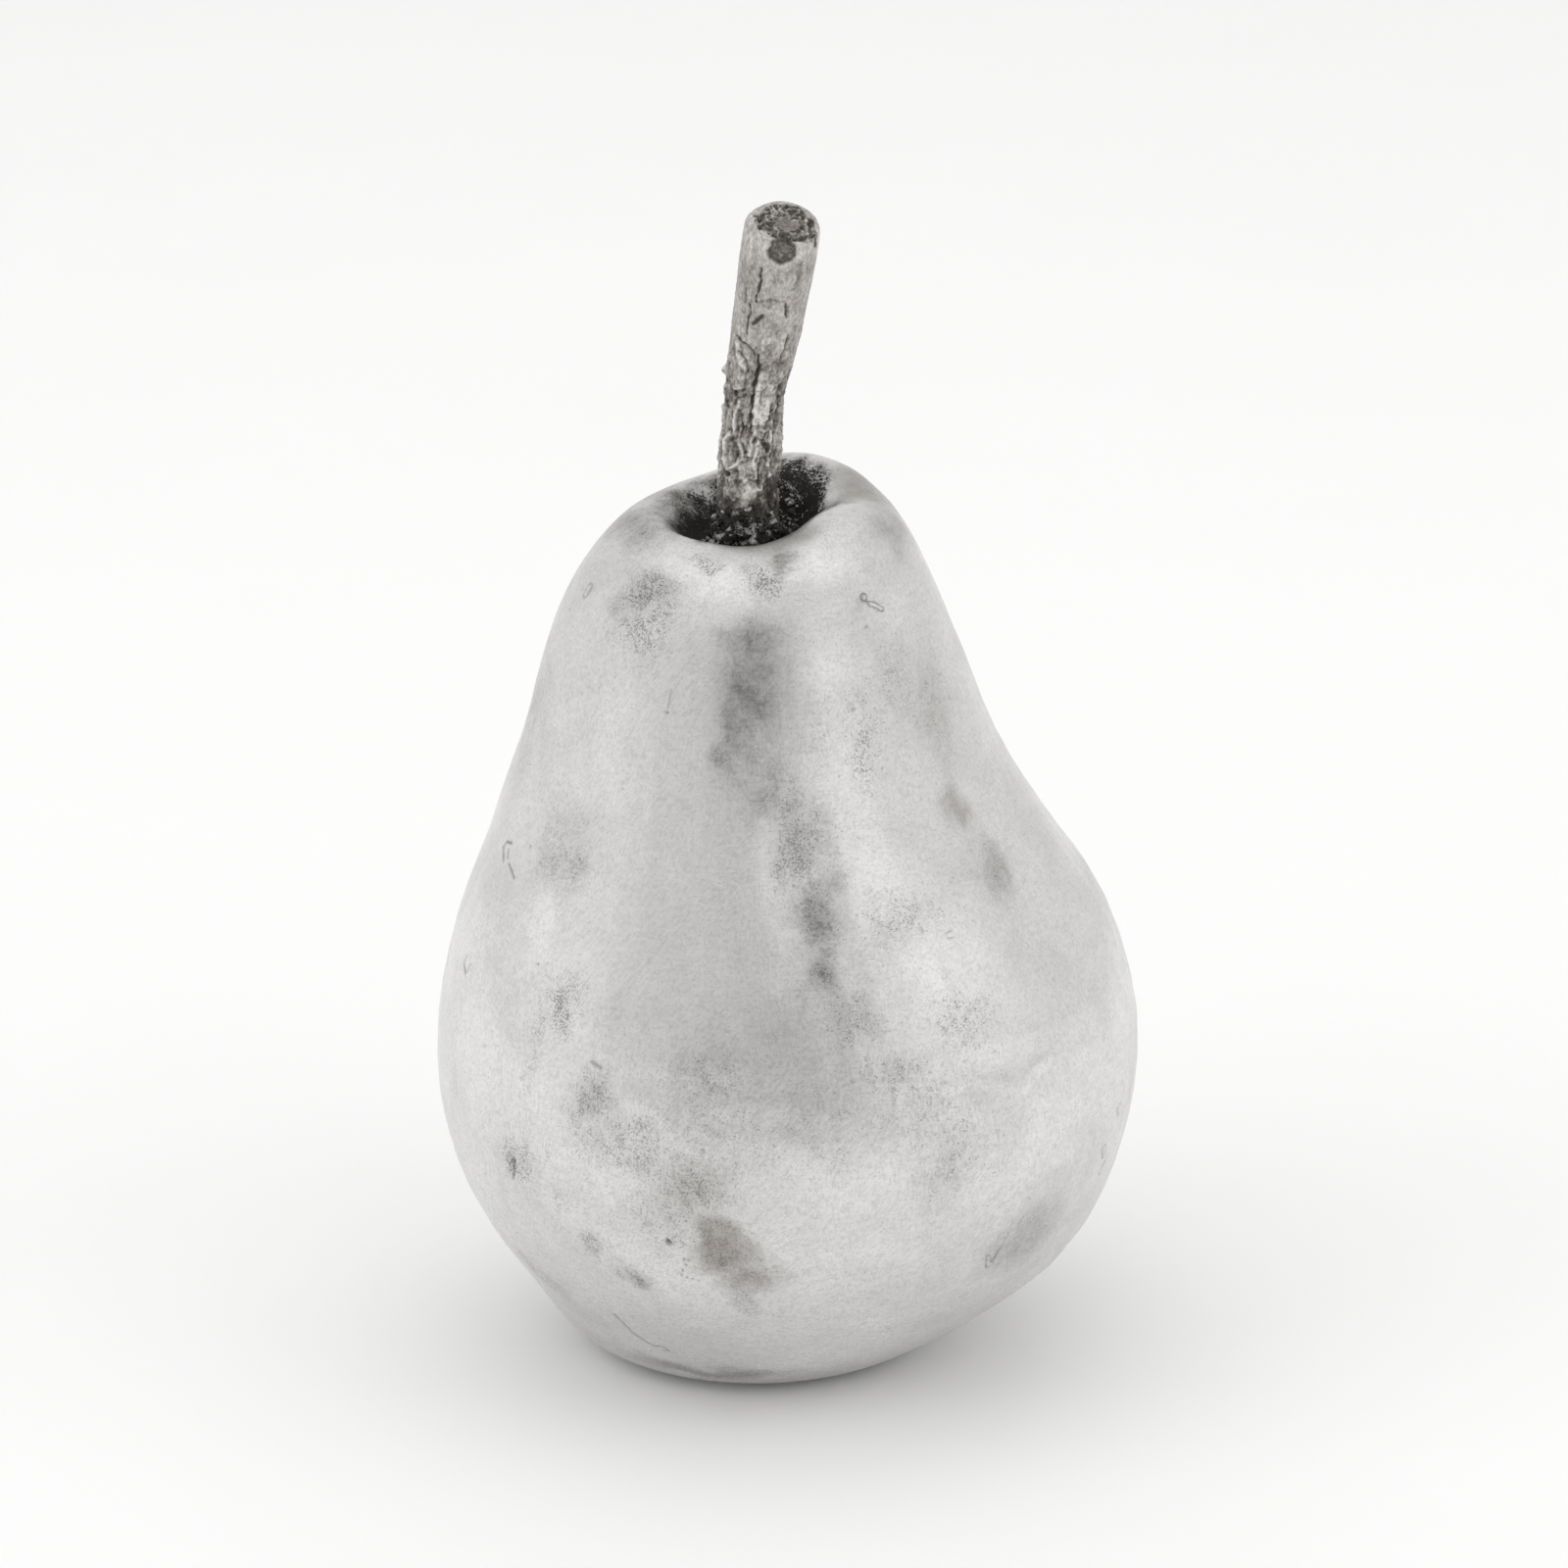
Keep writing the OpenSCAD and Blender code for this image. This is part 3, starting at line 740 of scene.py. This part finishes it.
# Knots, lumps and hollows in the bark: azimuth, height, half-width, half-height, rise and paleness.
KNOTS = [
    (335, 94.6, 2.4, 3.0, -0.8, 0.0),  # drawn in on the right at the root
    (262, 98.5, 1.9, 3.4, 0.05, 0.16), (198, 109.1, 0.5, 0.65, 0.48, 0.1), (208, 107, 0.6, 0.7, 0.42, 0.2),
    (231, 106.9, 0.24, 0.32, -0.32, -0.6), (241, 100.7, 0.48, 0.95, -0.36, -0.35),
    (228, 98.1, 0.42, 0.36, -0.46, -0.7), (284, 106, 1.0, 3.2, 0.14, 0.26), (279, 96, 1.4, 1.15, 0.38, 0.24),
    (233, 96.6, 0.8, 1.2, 0.3, 0.12), (254, 94.2, 1.1, 1.0, 0.36, 0.1), (262, 97.6, 0.5, 0.9, 0.2, 0.15),
    (300, 94.4, 0.9, 0.9, 0.25, 0.05), (216, 93.8, 0.8, 1.0, 0.3, 0.05), (273, 113.2, 0.9, 1.1, 0.04, 0.14),
    (300, 112.6, 0.5, 1.3, 0.05, 0.1), (60, 101, 0.7, 0.9, 0.4, 0.1), (110, 111, 0.6, 0.8, 0.35, 0.1),
    (150, 95.5, 0.8, 1.0, 0.4, 0.1), (20, 94.5, 0.8, 0.9, 0.35, 0.1), (330, 96, 0.6, 1.1, 0.3, 0.1),
]
SCAR = np.array([-0.1, -3.3, -2.2])  # the round scar's middle, from the cut face's middle
SCAR_R = 1.45


def stem_middle():
    """The CAD stem's middle line as smooth curves x(z) and y(z), in millimetres."""
    heights, centres = np.arange(STEM_LOW, STEM_TOP - 5, 1.0), []
    middle = np.array([0.0, 0.0])
    for z in heights:
        for _ in range(2):
            hits = []
            for k in range(24):
                a = k * math.pi / 12
                way = np.array([math.cos(a), math.sin(a), 0.0])
                start = np.array([*middle, z]) + 20 * way
                hits.append((start - way * cast(stem_tree, start, -way))[:2])
            middle = np.nanmean(hits, axis=0)
        centres.append(middle)
    centres = np.array(centres)
    return np.poly1d(np.polyfit(heights, centres[:, 0], 4)), np.poly1d(np.polyfit(heights, centres[:, 1], 4))


def cut_plane(fx, fy):
    """The cut end's middle and outward direction, from rays down onto the CAD stem."""
    z = STEM_TOP - 2
    hits = []
    for x in np.linspace(-1.8, 1.8, 7):
        for y in np.linspace(-1.8, 1.8, 7):
            start = np.array([fx(z) + x, fy(z) + y, STEM_TOP + 5])
            hits.append(start - [0, 0, cast(stem_tree, start, (0, 0, -1))])
    hits = np.array(hits)
    middle = hits.mean(axis=0)
    way = np.linalg.svd(hits - middle)[2][2]
    return middle, way * np.sign(way[2])


def smoothed(radii):
    """The stem's radii, blurred round each ring and then up the stem."""
    kernel = bell(np.arange(-BLUR, BLUR + 1), 5.5)
    kernel /= kernel.sum()
    wide = np.concatenate([radii[:, -BLUR:], radii, radii[:, :BLUR]], axis=1)
    radii = np.array([np.convolve(row, kernel, "valid") for row in wide])
    tall = np.concatenate([radii[:1].repeat(BLUR, 0), radii, radii[-1:].repeat(BLUR, 0)])
    return np.stack([np.convolve(tall[:, k], kernel, "valid") for k in range(STEM_TURNS)], 1)


def cap_over(last, centre, up):
    """Rings from the last ring of the side round the worn edge and in over the cut face."""
    cap = []
    for k in range(1, CAP_RINGS + 1):
        t = k / CAP_RINGS
        turn = min(1.0, t / BEVEL_SHARE) * math.pi / 2
        if t < BEVEL_SHARE:
            share = FACE_SHARE + (1 - FACE_SHARE) * math.cos(turn)
        else:
            share = FACE_SHARE * (1 - t) / (1 - BEVEL_SHARE)
        cap.append(centre + (last - centre) * share + up * CAP_RISE * math.sin(turn))
    return np.array(cap)


def stem_net():
    """Rings of points of the stem, from the hollow up and over the cut end."""
    fx, fy = stem_middle()
    tip, cut_way = cut_plane(fx, fy)
    top = tip[2] - 1.25
    angles = np.arange(STEM_TURNS) * 2 * math.pi / STEM_TURNS
    rings, radii, centres, ups = [], [], [], []
    for i in range(STEM_RINGS + 1):
        s = i / STEM_RINGS
        z = STEM_LOW + (top - STEM_LOW) * s
        centre = np.array([fx(z), fy(z), z])
        lean = np.array([fx(z + 0.5) - fx(z - 0.5), fy(z + 0.5) - fy(z - 0.5), 1.0])
        up = lean / np.linalg.norm(lean)
        up = up + (cut_way - up) * ease(0.72, 1.0, np.float64(s))
        up /= np.linalg.norm(up)
        side = np.cross([0, 1, 0], up)
        side /= np.linalg.norm(side)
        deep = np.cross(up, side)
        ways = np.cos(angles)[:, None] * side + np.sin(angles)[:, None] * deep
        radii.append([cast(stem_tree, centre, w) for w in ways])
        centres.append(centre)
        ups.append(up)
        rings.append(ways)
    radii = smoothed(np.array(radii))
    side_points = np.array(centres)[:, None] + radii[..., None] * np.array(rings)
    centre, up = centres[-1], ups[-1]
    return side_points, cap_over(side_points[-1], centre, up), centre + up * CAP_RISE, up


def ridged(points, size, seed):
    """Thin winding lines: 1 on them, falling to 0 between."""
    return np.clip(1 - 3.2 * np.abs(cloud(points, size, 2, seed)), 0, 1)


def unrolled_distance(azimuth, height, path):
    """Distance in millimetres to a path on the bark, which is given as azimuths and heights."""
    middle = path[0][0]
    flat = np.stack([np.radians((azimuth - middle + 180) % 360 - 180) * BARK_R, height], 1)
    line = np.array([(math.radians(a - middle) * BARK_R, z) for a, z in path])
    return distance_to_path(flat, line)


def bark_relief(azimuth, height):
    """How far the bark rises at each point of the stem's side, and its tone from dark to pale."""
    a = np.radians(azimuth)
    round_ = np.stack([BARK_R * np.cos(a), BARK_R * np.sin(a), height], 1)
    long = round_ * [1, 1, 0.3]
    low = ease(116, 106, height)
    plates = cloud(round_ * [1, 1, 0.35], 2.0, 3, 11)
    flakes = cloud(round_ * [1, 1, 0.6], 0.75, 4, 13)
    grains = cloud(round_, 0.34, 2, 14)
    net = ridged(long, 1.1, 15) * ease(-0.1, 0.25, cloud(round_, 1.8, 2, 16))
    fine_net = ridged(round_ * [1, 1, 0.5], 0.6, 17) * ease(0.0, 0.3, cloud(round_, 1.2, 2, 18))
    rise = (0.04 + 0.08 * low) * plates + (0.03 + 0.15 * low) * flakes + (0.015 + 0.045 * low) * grains
    rise -= (0.02 + 0.16 * low) * net + (0.02 + 0.09 * low) * fine_net
    tone = 0.69 - 0.05 * low - 0.10 * ease(99, 93, height) + (0.05 + 0.15 * low) * flakes
    tone += (0.05 + 0.20 * low) * grains + 0.06 * plates - (0.10 + 0.16 * low) * net
    tone -= (0.05 + 0.12 * low) * fine_net
    tone -= 0.34 * ease(96.5, 93.5, height) * ease(-0.25, 0.25, cloud(round_, 1.1, 3, 12))
    wander = np.stack([0.16 * cloud(round_, 0.7, 2, 19), 0.1 * cloud(round_, 0.7, 2, 20)], 1)
    shifted, raised = azimuth + np.degrees(wander[:, 0] / BARK_R), height + wander[:, 1]
    thin = 0.75 + 0.7 * cloud(round_, 0.8, 2, 21)
    for path, width, depth, dark in CRACKS:
        d = unrolled_distance(shifted, raised, path) / (width * thin.clip(0.3))
        rise += -depth * bell(d) + 0.25 * depth * bell(d - 2.4, 1.1)
        tone -= dark * 0.55 * bell(d)
    for path, width, lift, pale in THREADS:
        d = unrolled_distance(shifted, raised, path) / width
        rise += lift * bell(d)
        tone += pale * bell(d) - 0.16 * bell(d - 2.1, 0.7)
    for middle, z, across, tall, lift, pale in KNOTS:
        side = np.radians((shifted - middle + 180) % 360 - 180) * BARK_R
        d = np.hypot(side / across, (raised - z) / tall)
        rise += lift * bell(d)
        tone += pale * np.exp(-d ** 4) - 0.14 * (lift > 0.2) * bell(d - 1.7, 0.4)
    return rise, tone


def cut_face(points, tip, up):
    """The torn cut end: how far its crust rises, its tone, and how much of the surface it covers."""
    flat = points - tip
    flat = flat - (flat @ up)[:, None] * up
    round_ = np.degrees(np.arctan2(flat[:, 1], flat[:, 0])) % 360
    out = np.linalg.norm(flat - [0.25, 0, 0], axis=1)
    edge = 3.0 + 0.45 * cloud(points, 1.3, 3, 27) + 0.8 * bell(round_ - 328, 22)
    cover = ease(0.12, -0.12, out - edge)
    net = ridged(points, 0.85, 22)
    curls = ridged(np.stack([out * 1.5, np.radians(round_) * 1.4, points[:, 2] * 0.2], 1), 1.0, 28)
    torn = cloud(points, 0.5, 3, 23)
    pith = ease(1.15, 0.85, np.linalg.norm((flat - [0.2, -0.15, 0]) * [1, 0.85, 1], axis=1) + 0.15 * torn)
    bands = np.maximum(net, 0.9 * curls)
    rise = (1 - pith) * (0.26 * bands + 0.16 * torn - 0.14) - 0.04 * pith
    tone = (1 - pith) * (0.12 + 0.66 * bands ** 1.5 + 0.25 * torn) + pith * (0.50 + 0.1 * torn)
    tone += 0.18 * ease(0.2, 0.6, cloud(points, 2.2, 2, 29)) * (1 - pith)
    return cover * rise, tone, cover


def build_stem():
    """The stem, with its bark, cut end and scar in the mesh and its tone as a field."""
    side, cap, tip, up = stem_net()
    fx, fy = stem_middle()
    rings = np.concatenate([side, cap[:-1]])
    points = np.concatenate([rings.reshape(-1, 3), tip[None]])
    index, beside, quads = ring_net(len(rings), STEM_TURNS)
    fan = [(index[-1, k], beside[-1, k], index.size) for k in range(STEM_TURNS)]
    piece = new_object("bark_stem", points, quads + fan, stem_bark())
    mesh = piece.data
    normals, height = normal_array(mesh), points[:, 2]
    azimuth = np.degrees(np.arctan2(points[:, 1] - fy(height), points[:, 0] - fx(height))) % 360
    rise, tone = bark_relief(azimuth, height)
    worn = ease(119.5, 122.5, height)
    rise *= 1 - 0.6 * worn
    tone += worn * (0.12 + 0.06 * cloud(points, 1.5, 3, 24)) * ease(4.0, 1.5, np.abs(tip[2] - 0.8 - height))

    cut_rise, cut_tone, cover = cut_face(points, tip, up)
    cover = cover * ease(tip[2] - 3.6, tip[2] - 2.9, height)
    rise = rise * (1 - cover) + cut_rise
    tone = tone * (1 - cover) + cut_tone * cover

    d = np.linalg.norm(points - tip - SCAR, axis=1) / (SCAR_R * (1 + 0.14 * cloud(points, 0.9, 3, 25)))
    scar = ease(1.08, 0.92, d)
    grit = cloud(points, 0.5, 3, 26)
    rise += scar * (-0.32 + 0.08 * grit) + 0.12 * bell(d - 1.2, 0.16) * (1 - 0.7 * cover)
    tone = tone * (1 - scar) + scar * (0.34 + 0.16 * grit - 0.2 * bell(d - 0.95, 0.12))
    tone += 0.05 * bell(d - 1.3, 0.2) * (1 - cover)
    move_vertices(mesh, points + normals * rise[:, None])
    write_field(mesh, "tone", np.clip(tone, 0, 1))
    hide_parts("stem")
    return piece


# ---------------------------------------------------------------- the crumbly cement round the root

CRUST_TURNS = 260
CRUST_RINGS = 60
CRUST_IN, CRUST_OUT = 2.6, 8.6
CRUST_FOOT = np.array([-0.5, 0.0])  # the bed's inner edge goes round this point, the stem's root
GRAINS = 2400
CRUMBS = 150
ROOT_LUMPS = 46
# Splinters at the root: points of a bent spike from its thick end to its tip, and its radius.
SPLINTERS = [
    ([(2.6, -1.3, 96.6), (3.7, -1.5, 96.3), (4.6, -1.6, 95.5), (5.2, -1.6, 94.4)], 0.6),
    ([(-3.2, -1.8, 92.6), (-3.9, -2.5, 92.3), (-4.3, -3.4, 91.6)], 0.26),
    ([(1.2, -3.4, 91.6), (1.9, -4.1, 91.7), (2.7, -4.5, 91.2)], 0.26),
    ([(-1.6, 3.2, 92.4), (-2.4, 4.2, 92.4), (-2.6, 5.0, 91.6)], 0.26),
]


def crust_height(x, y):
    """Height of the hollow's floor or wall under a point, in millimetres."""
    return RAY_TOP - cast(shell_tree, (x, y, RAY_TOP), (0, 0, -1))


def grain_shape(subdivisions, seed):
    """A small lump's points and faces, radius about 1."""
    ball = bmesh.new()
    bmesh.ops.create_icosphere(ball, subdivisions=subdivisions, radius=1.0)
    points = np.array([v.co for v in ball.verts])
    faces = [[v.index for v in f.verts] for f in ball.faces]
    ball.free()
    points *= (1 + 0.7 * cloud(points, 0.8, 4, seed))[:, None]
    return points, faces


def spike(path, radius):
    """A bent, tapering splinter's points and faces."""
    path, turns, steps = np.array(path), 8, 14
    points, faces = [], []
    for i in range(steps + 1):
        t = i / steps * (len(path) - 1)
        k = min(int(t), len(path) - 2)
        centre = path[k] + (path[k + 1] - path[k]) * (t - k)
        r = radius * (1 - 0.85 * i / steps) * (1 + 0.3 * rng.uniform(-1, 1))
        for j in range(turns):
            a = j * 2 * math.pi / turns
            points.append(centre + r * np.array([0.5 * math.cos(a), 0.9 * math.cos(a), 1.1 * math.sin(a)]))
    for i in range(steps):
        for j in range(turns):
            k = (j + 1) % turns
            faces.append([i * turns + j, i * turns + k, (i + 1) * turns + k, (i + 1) * turns + j])
    faces += [list(range(turns))[::-1], [steps * turns + j for j in range(turns)]]
    return np.array(points), faces


def crust_bed():
    """The rough bed over the hollow's floor, thick at the stem: a grid of points and their brightness."""
    spread = CRUST_OUT - CRUST_IN
    points = []
    for i in range(CRUST_RINGS + 1):
        t = i / CRUST_RINGS
        for k in range(CRUST_TURNS):
            a = k * 2 * math.pi / CRUST_TURNS
            x, y = CRUST_FOOT * (1 - t) + (CRUST_IN + spread * t) * np.array([math.cos(a), math.sin(a)])
            floor = crust_height(x, y)
            if math.isnan(floor) or math.hypot(x, y) < 4.4:
                floor = CEMENT_FLOOR + 0.6
            points.append((x, y, floor))
    points = np.array(points)
    r = np.hypot(points[:, 0] + 0.4, points[:, 1])
    front = bell(np.degrees(np.arctan2(points[:, 1], points[:, 0])) + 95, 55)
    rough, fine = cloud(points, 1.5, 5, 31), cloud(points, 0.5, 3, 33)
    thick = 0.12 + (1.8 + 1.4 * front) * bell(r - CRUST_IN, 1.7)
    thick += (0.35 + 0.65 * bell(r - 3.8, 1.5)) * rough + 0.22 * fine
    thick -= 1.2 * ease(-4.4, -1.6, past_edge(points)[0] + 1.2 * cloud(points, 2.0, 4, 32))
    points[:, 2] += thick
    bright = np.clip(0.32 + 0.8 * rough + 0.5 * fine, 0, 1) * ease(6.8, 3.2, r)
    return points, bright


def loose_grains(bed, index, small, large):
    """Fine grains and larger crumbs strewn over the bed."""
    parts = []
    for k in range(GRAINS + CRUMBS):
        crumb = k >= GRAINS
        ring = rng.randrange(4, 18) if crumb else rng.randrange(8, CRUST_RINGS - 10)
        turn = rng.gauss(0.735, 0.13) % 1 if crumb else rng.random()
        where = bed[index[ring, int(turn * CRUST_TURNS)]]
        size = rng.uniform(0.22, 0.75) if crumb else rng.uniform(0.04, 0.14)
        shape, faces = large[k % 5] if crumb else small[k % 5]
        way = Vector((rng.random(), rng.random(), rng.random())).normalized()
        spin = shape @ np.array(Vector((0, 0, 1)).rotation_difference(way).to_matrix())
        squash = np.array([rng.uniform(0.7, 1.3) for _ in range(3)])
        shine = rng.uniform(0.1, 0.75) if crumb else (0.85 if rng.random() > 0.6 else 0.05)
        grain = where + [0, 0, size * 0.3] + spin * squash * size
        parts.append((grain, faces, np.full(len(shape), shine)))
    return parts


def root_lumps(large):
    """Lumps heaped against the stem's root, most of them in front."""
    parts = []
    for k in range(ROOT_LUMPS):
        size = rng.uniform(0.22, 0.62)
        a, out = math.radians(rng.gauss(268, 62)), rng.uniform(3.5, 4.5)
        where = np.array([0.25 + out * math.cos(a), out * math.sin(a), 91.5 + 3.0 * rng.random() ** 2])
        shape, faces = large[k % 5]
        shine = rng.uniform(0.05, 0.8)
        parts.append((where + shape * [size, size, 0.8 * size], faces, np.full(len(shape), shine)))
    return parts


def build_crust():
    """A black bed with loose grains and crumbs, lumps against the stem, and splinters."""
    bed, bright = crust_bed()
    index, _, squares = ring_net(CRUST_RINGS + 1, CRUST_TURNS, flip=True)
    small = [grain_shape(1, 40 + k) for k in range(5)]
    large = [grain_shape(2, 50 + k) for k in range(5)]
    parts = [(bed, squares, bright)] + loose_grains(bed, index, small, large) + root_lumps(large)
    for path, radius in SPLINTERS:
        shape, shape_faces = spike(path, radius)
        parts.append((shape, shape_faces, np.full(len(shape), 0.42)))
    first, all_faces = 0, []
    for shape, shape_faces, _ in parts:
        all_faces += [[first + i for i in f] for f in shape_faces]
        first += len(shape)
    verts = np.concatenate([shape for shape, _, _ in parts])
    piece = new_object("root_crust", verts, all_faces, root_grit())
    write_field(piece.data, "bright", np.concatenate([shine for _, _, shine in parts]))
    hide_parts("stem_cement")
    return piece


# ---------------------------------------------------------------- the foot

def build_pad():
    """The felt pad: a soft-edged disc with a slightly fuzzy rim."""
    radius, thick = PAD_HIGH[0], PAD_HIGH[2] - PAD_LOW[2]
    turns, rings = 160, []
    profile = [(0.5, 0.0), (0.93, 0.0), (0.985, 0.06), (1.0, 0.2), (1.0, 0.8), (0.985, 0.94), (0.9, 1.0),
               (0.5, 1.0)]
    for share, rise in profile:
        for k in range(turns):
            a = k * 2 * math.pi / turns
            out = radius * share
            rings.append((out * math.cos(a), out * math.sin(a), PAD_LOW[2] + thick * rise))
    points = np.array(rings + [(0, 0, PAD_LOW[2]), (0, 0, PAD_HIGH[2])])
    index, beside, faces = ring_net(len(profile), turns)
    faces += [(beside[0, k], index[0, k], index.size) for k in range(turns)]
    faces += [(index[-1, k], beside[-1, k], index.size + 1) for k in range(turns)]
    fuzz = 1 - 0.006 * np.abs(cloud(points, 0.8, 3, 61))
    points[:, :2] *= fuzz[:, None]
    piece = new_object("felt_foot", points, faces, black_felt())
    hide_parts("felt_pad")
    return piece


def dress_hidden_nodes():
    """Real materials on the pieces inside, which nothing shows from outside."""
    for name, material in (("core_filling", cast_filling()), ("stem_pin", turned_steel()),
                           ("base_disc", pressed_board())):
        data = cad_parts[name].data
        data.materials.clear()
        data.materials.append(material)


# ---------------------------------------------------------------- stage, light and camera

def build_floor():
    """A plain pale floor that runs up into a wall behind."""
    half, front, back, bend, tall = 1.6, -1.6, 1.5, 0.5, 1.6
    profile = [(front, 0.0), (back - bend, 0.0)]
    turns = np.linspace(0.1, 1.57, 12)
    profile += [(back - bend + bend * math.sin(a), bend - bend * math.cos(a)) for a in turns]
    profile += [(back, tall)]
    verts = [(x, y, z) for y, z in profile for x in (-half, half)]
    faces = [(2 * i, 2 * i + 1, 2 * i + 3, 2 * i + 2) for i in range(len(profile) - 1)]
    mesh = bpy.data.meshes.new("floor")
    mesh.from_pydata(verts, [], faces)
    mesh.shade_smooth()
    s = Shader("floor_paper")
    tone = s.mix(s.noise(60, 3), (0.93, 0.93, 0.93), (0.95, 0.95, 0.95))
    mesh.materials.append(s.finish(Base_Color=tone, Roughness=0.9))
    add_to_scene("floor", mesh)


# How the soft surroundings differ from their base level, round a direction: azimuth from the front
# (positive to the right) and elevation, half-width and half-height, all in degrees, and the change.
SURROUND = 0.86
WORLD_WHITE = (1.0, 0.998, 0.993, 1.0)
PANELS = [
    (-14, 13, 34, 18, -0.20), (2, 32, 13, 24, -0.34), (36, 24, 18, 26, 0.20), (-52, 22, 15, 34, -0.10),
    (75, 10, 20, 40, -0.06), (-78, 20, 14, 40, 0.05), (0, 80, 60, 14, 0.16),
]


def lamp(name, place, aim, width, height, power):
    """A soft lamp that lights without showing up in the silver."""
    light = bpy.data.lights.new(name, "AREA")
    light.shape = "RECTANGLE"
    light.size = width
    light.size_y = height
    light.energy = power
    holder = add_to_scene(name, light)
    holder.location = place
    holder.rotation_euler = (Vector(aim) - Vector(place)).to_track_quat("-Z", "Y").to_euler()
    holder.visible_glossy = False


def studio_world():
    """White surroundings. The silver and the floor are lit by soft panels and the darker gaps between."""
    world = bpy.data.worlds.new("studio")
    bpy.context.scene.world = world
    tree = NodeTree(world)
    nodes, calc, put = tree.nodes, tree.calc, tree.put
    split = nodes.new("ShaderNodeSeparateXYZ")
    put(split.inputs[0], nodes.new("ShaderNodeTexCoord").outputs["Generated"])
    x, y, z = split.outputs
    turn = calc("ARCTAN2", x, calc("MULTIPLY", y, -1.0))
    lift = calc("ARCSINE", z)
    level = SURROUND
    for azimuth, elevation, across, tall, change in PANELS:
        side = calc("DIVIDE", calc("SUBTRACT", turn, math.radians(azimuth)), math.radians(across))
        rise = calc("DIVIDE", calc("SUBTRACT", lift, math.radians(elevation)), math.radians(tall))
        away = calc("ADD", calc("MULTIPLY", side, side), calc("MULTIPLY", rise, rise))
        level = calc("ADD", level, calc("MULTIPLY", calc("EXPONENT", calc("MULTIPLY", away, -1.0)), change))
    seen = nodes.new("ShaderNodeLightPath").outputs["Is Camera Ray"]
    shown = nodes.new("ShaderNodeMix")
    for socket, value in ((shown.inputs["Factor"], seen), (shown.inputs[2], level), (shown.inputs[3], 1.0)):
        put(socket, value)
    put(nodes["Background"].inputs["Strength"], shown.outputs[0])
    put(nodes["Background"].inputs["Color"], WORLD_WHITE)


def build_lights():
    studio_world()
    belly = (0, 0, 0.06)
    lamp("lamp_left", (-0.75, -0.35, 0.55), belly, 0.7, 0.9, 1.6)
    lamp("lamp_right", (0.8, -0.3, 0.5), belly, 0.6, 0.9, 1.2)
    lamp("lamp_top", (0.0, 0.25, 1.0), belly, 1.0, 0.8, 1.4)


CAMERA_RISE = 20.0    # degrees above the horizon
CAMERA_AWAY = 0.70    # metres from the point it looks at
CAMERA_AIM = (0.0032, 0.0, 0.06275)
CAMERA_LENS = 151.2   # millimetres, on a 36 mm sensor


def build_camera():
    data = bpy.data.cameras.new("camera")
    data.lens, data.sensor_width, data.clip_start = CAMERA_LENS, 36.0, 0.01
    camera = add_to_scene("camera", data)
    rise = math.radians(CAMERA_RISE)
    away = Vector((0, -math.cos(rise), math.sin(rise))) * CAMERA_AWAY
    camera.location = Vector(CAMERA_AIM) + away
    camera.rotation_euler = (-away).to_track_quat("-Z", "Y").to_euler()
    bpy.context.scene.camera = camera


build_camera()
build_lights()
build_floor()
build_skin()
build_stem()
build_crust()
build_pad()
dress_hidden_nodes()
bpy.context.scene.view_settings.view_transform = "Standard"
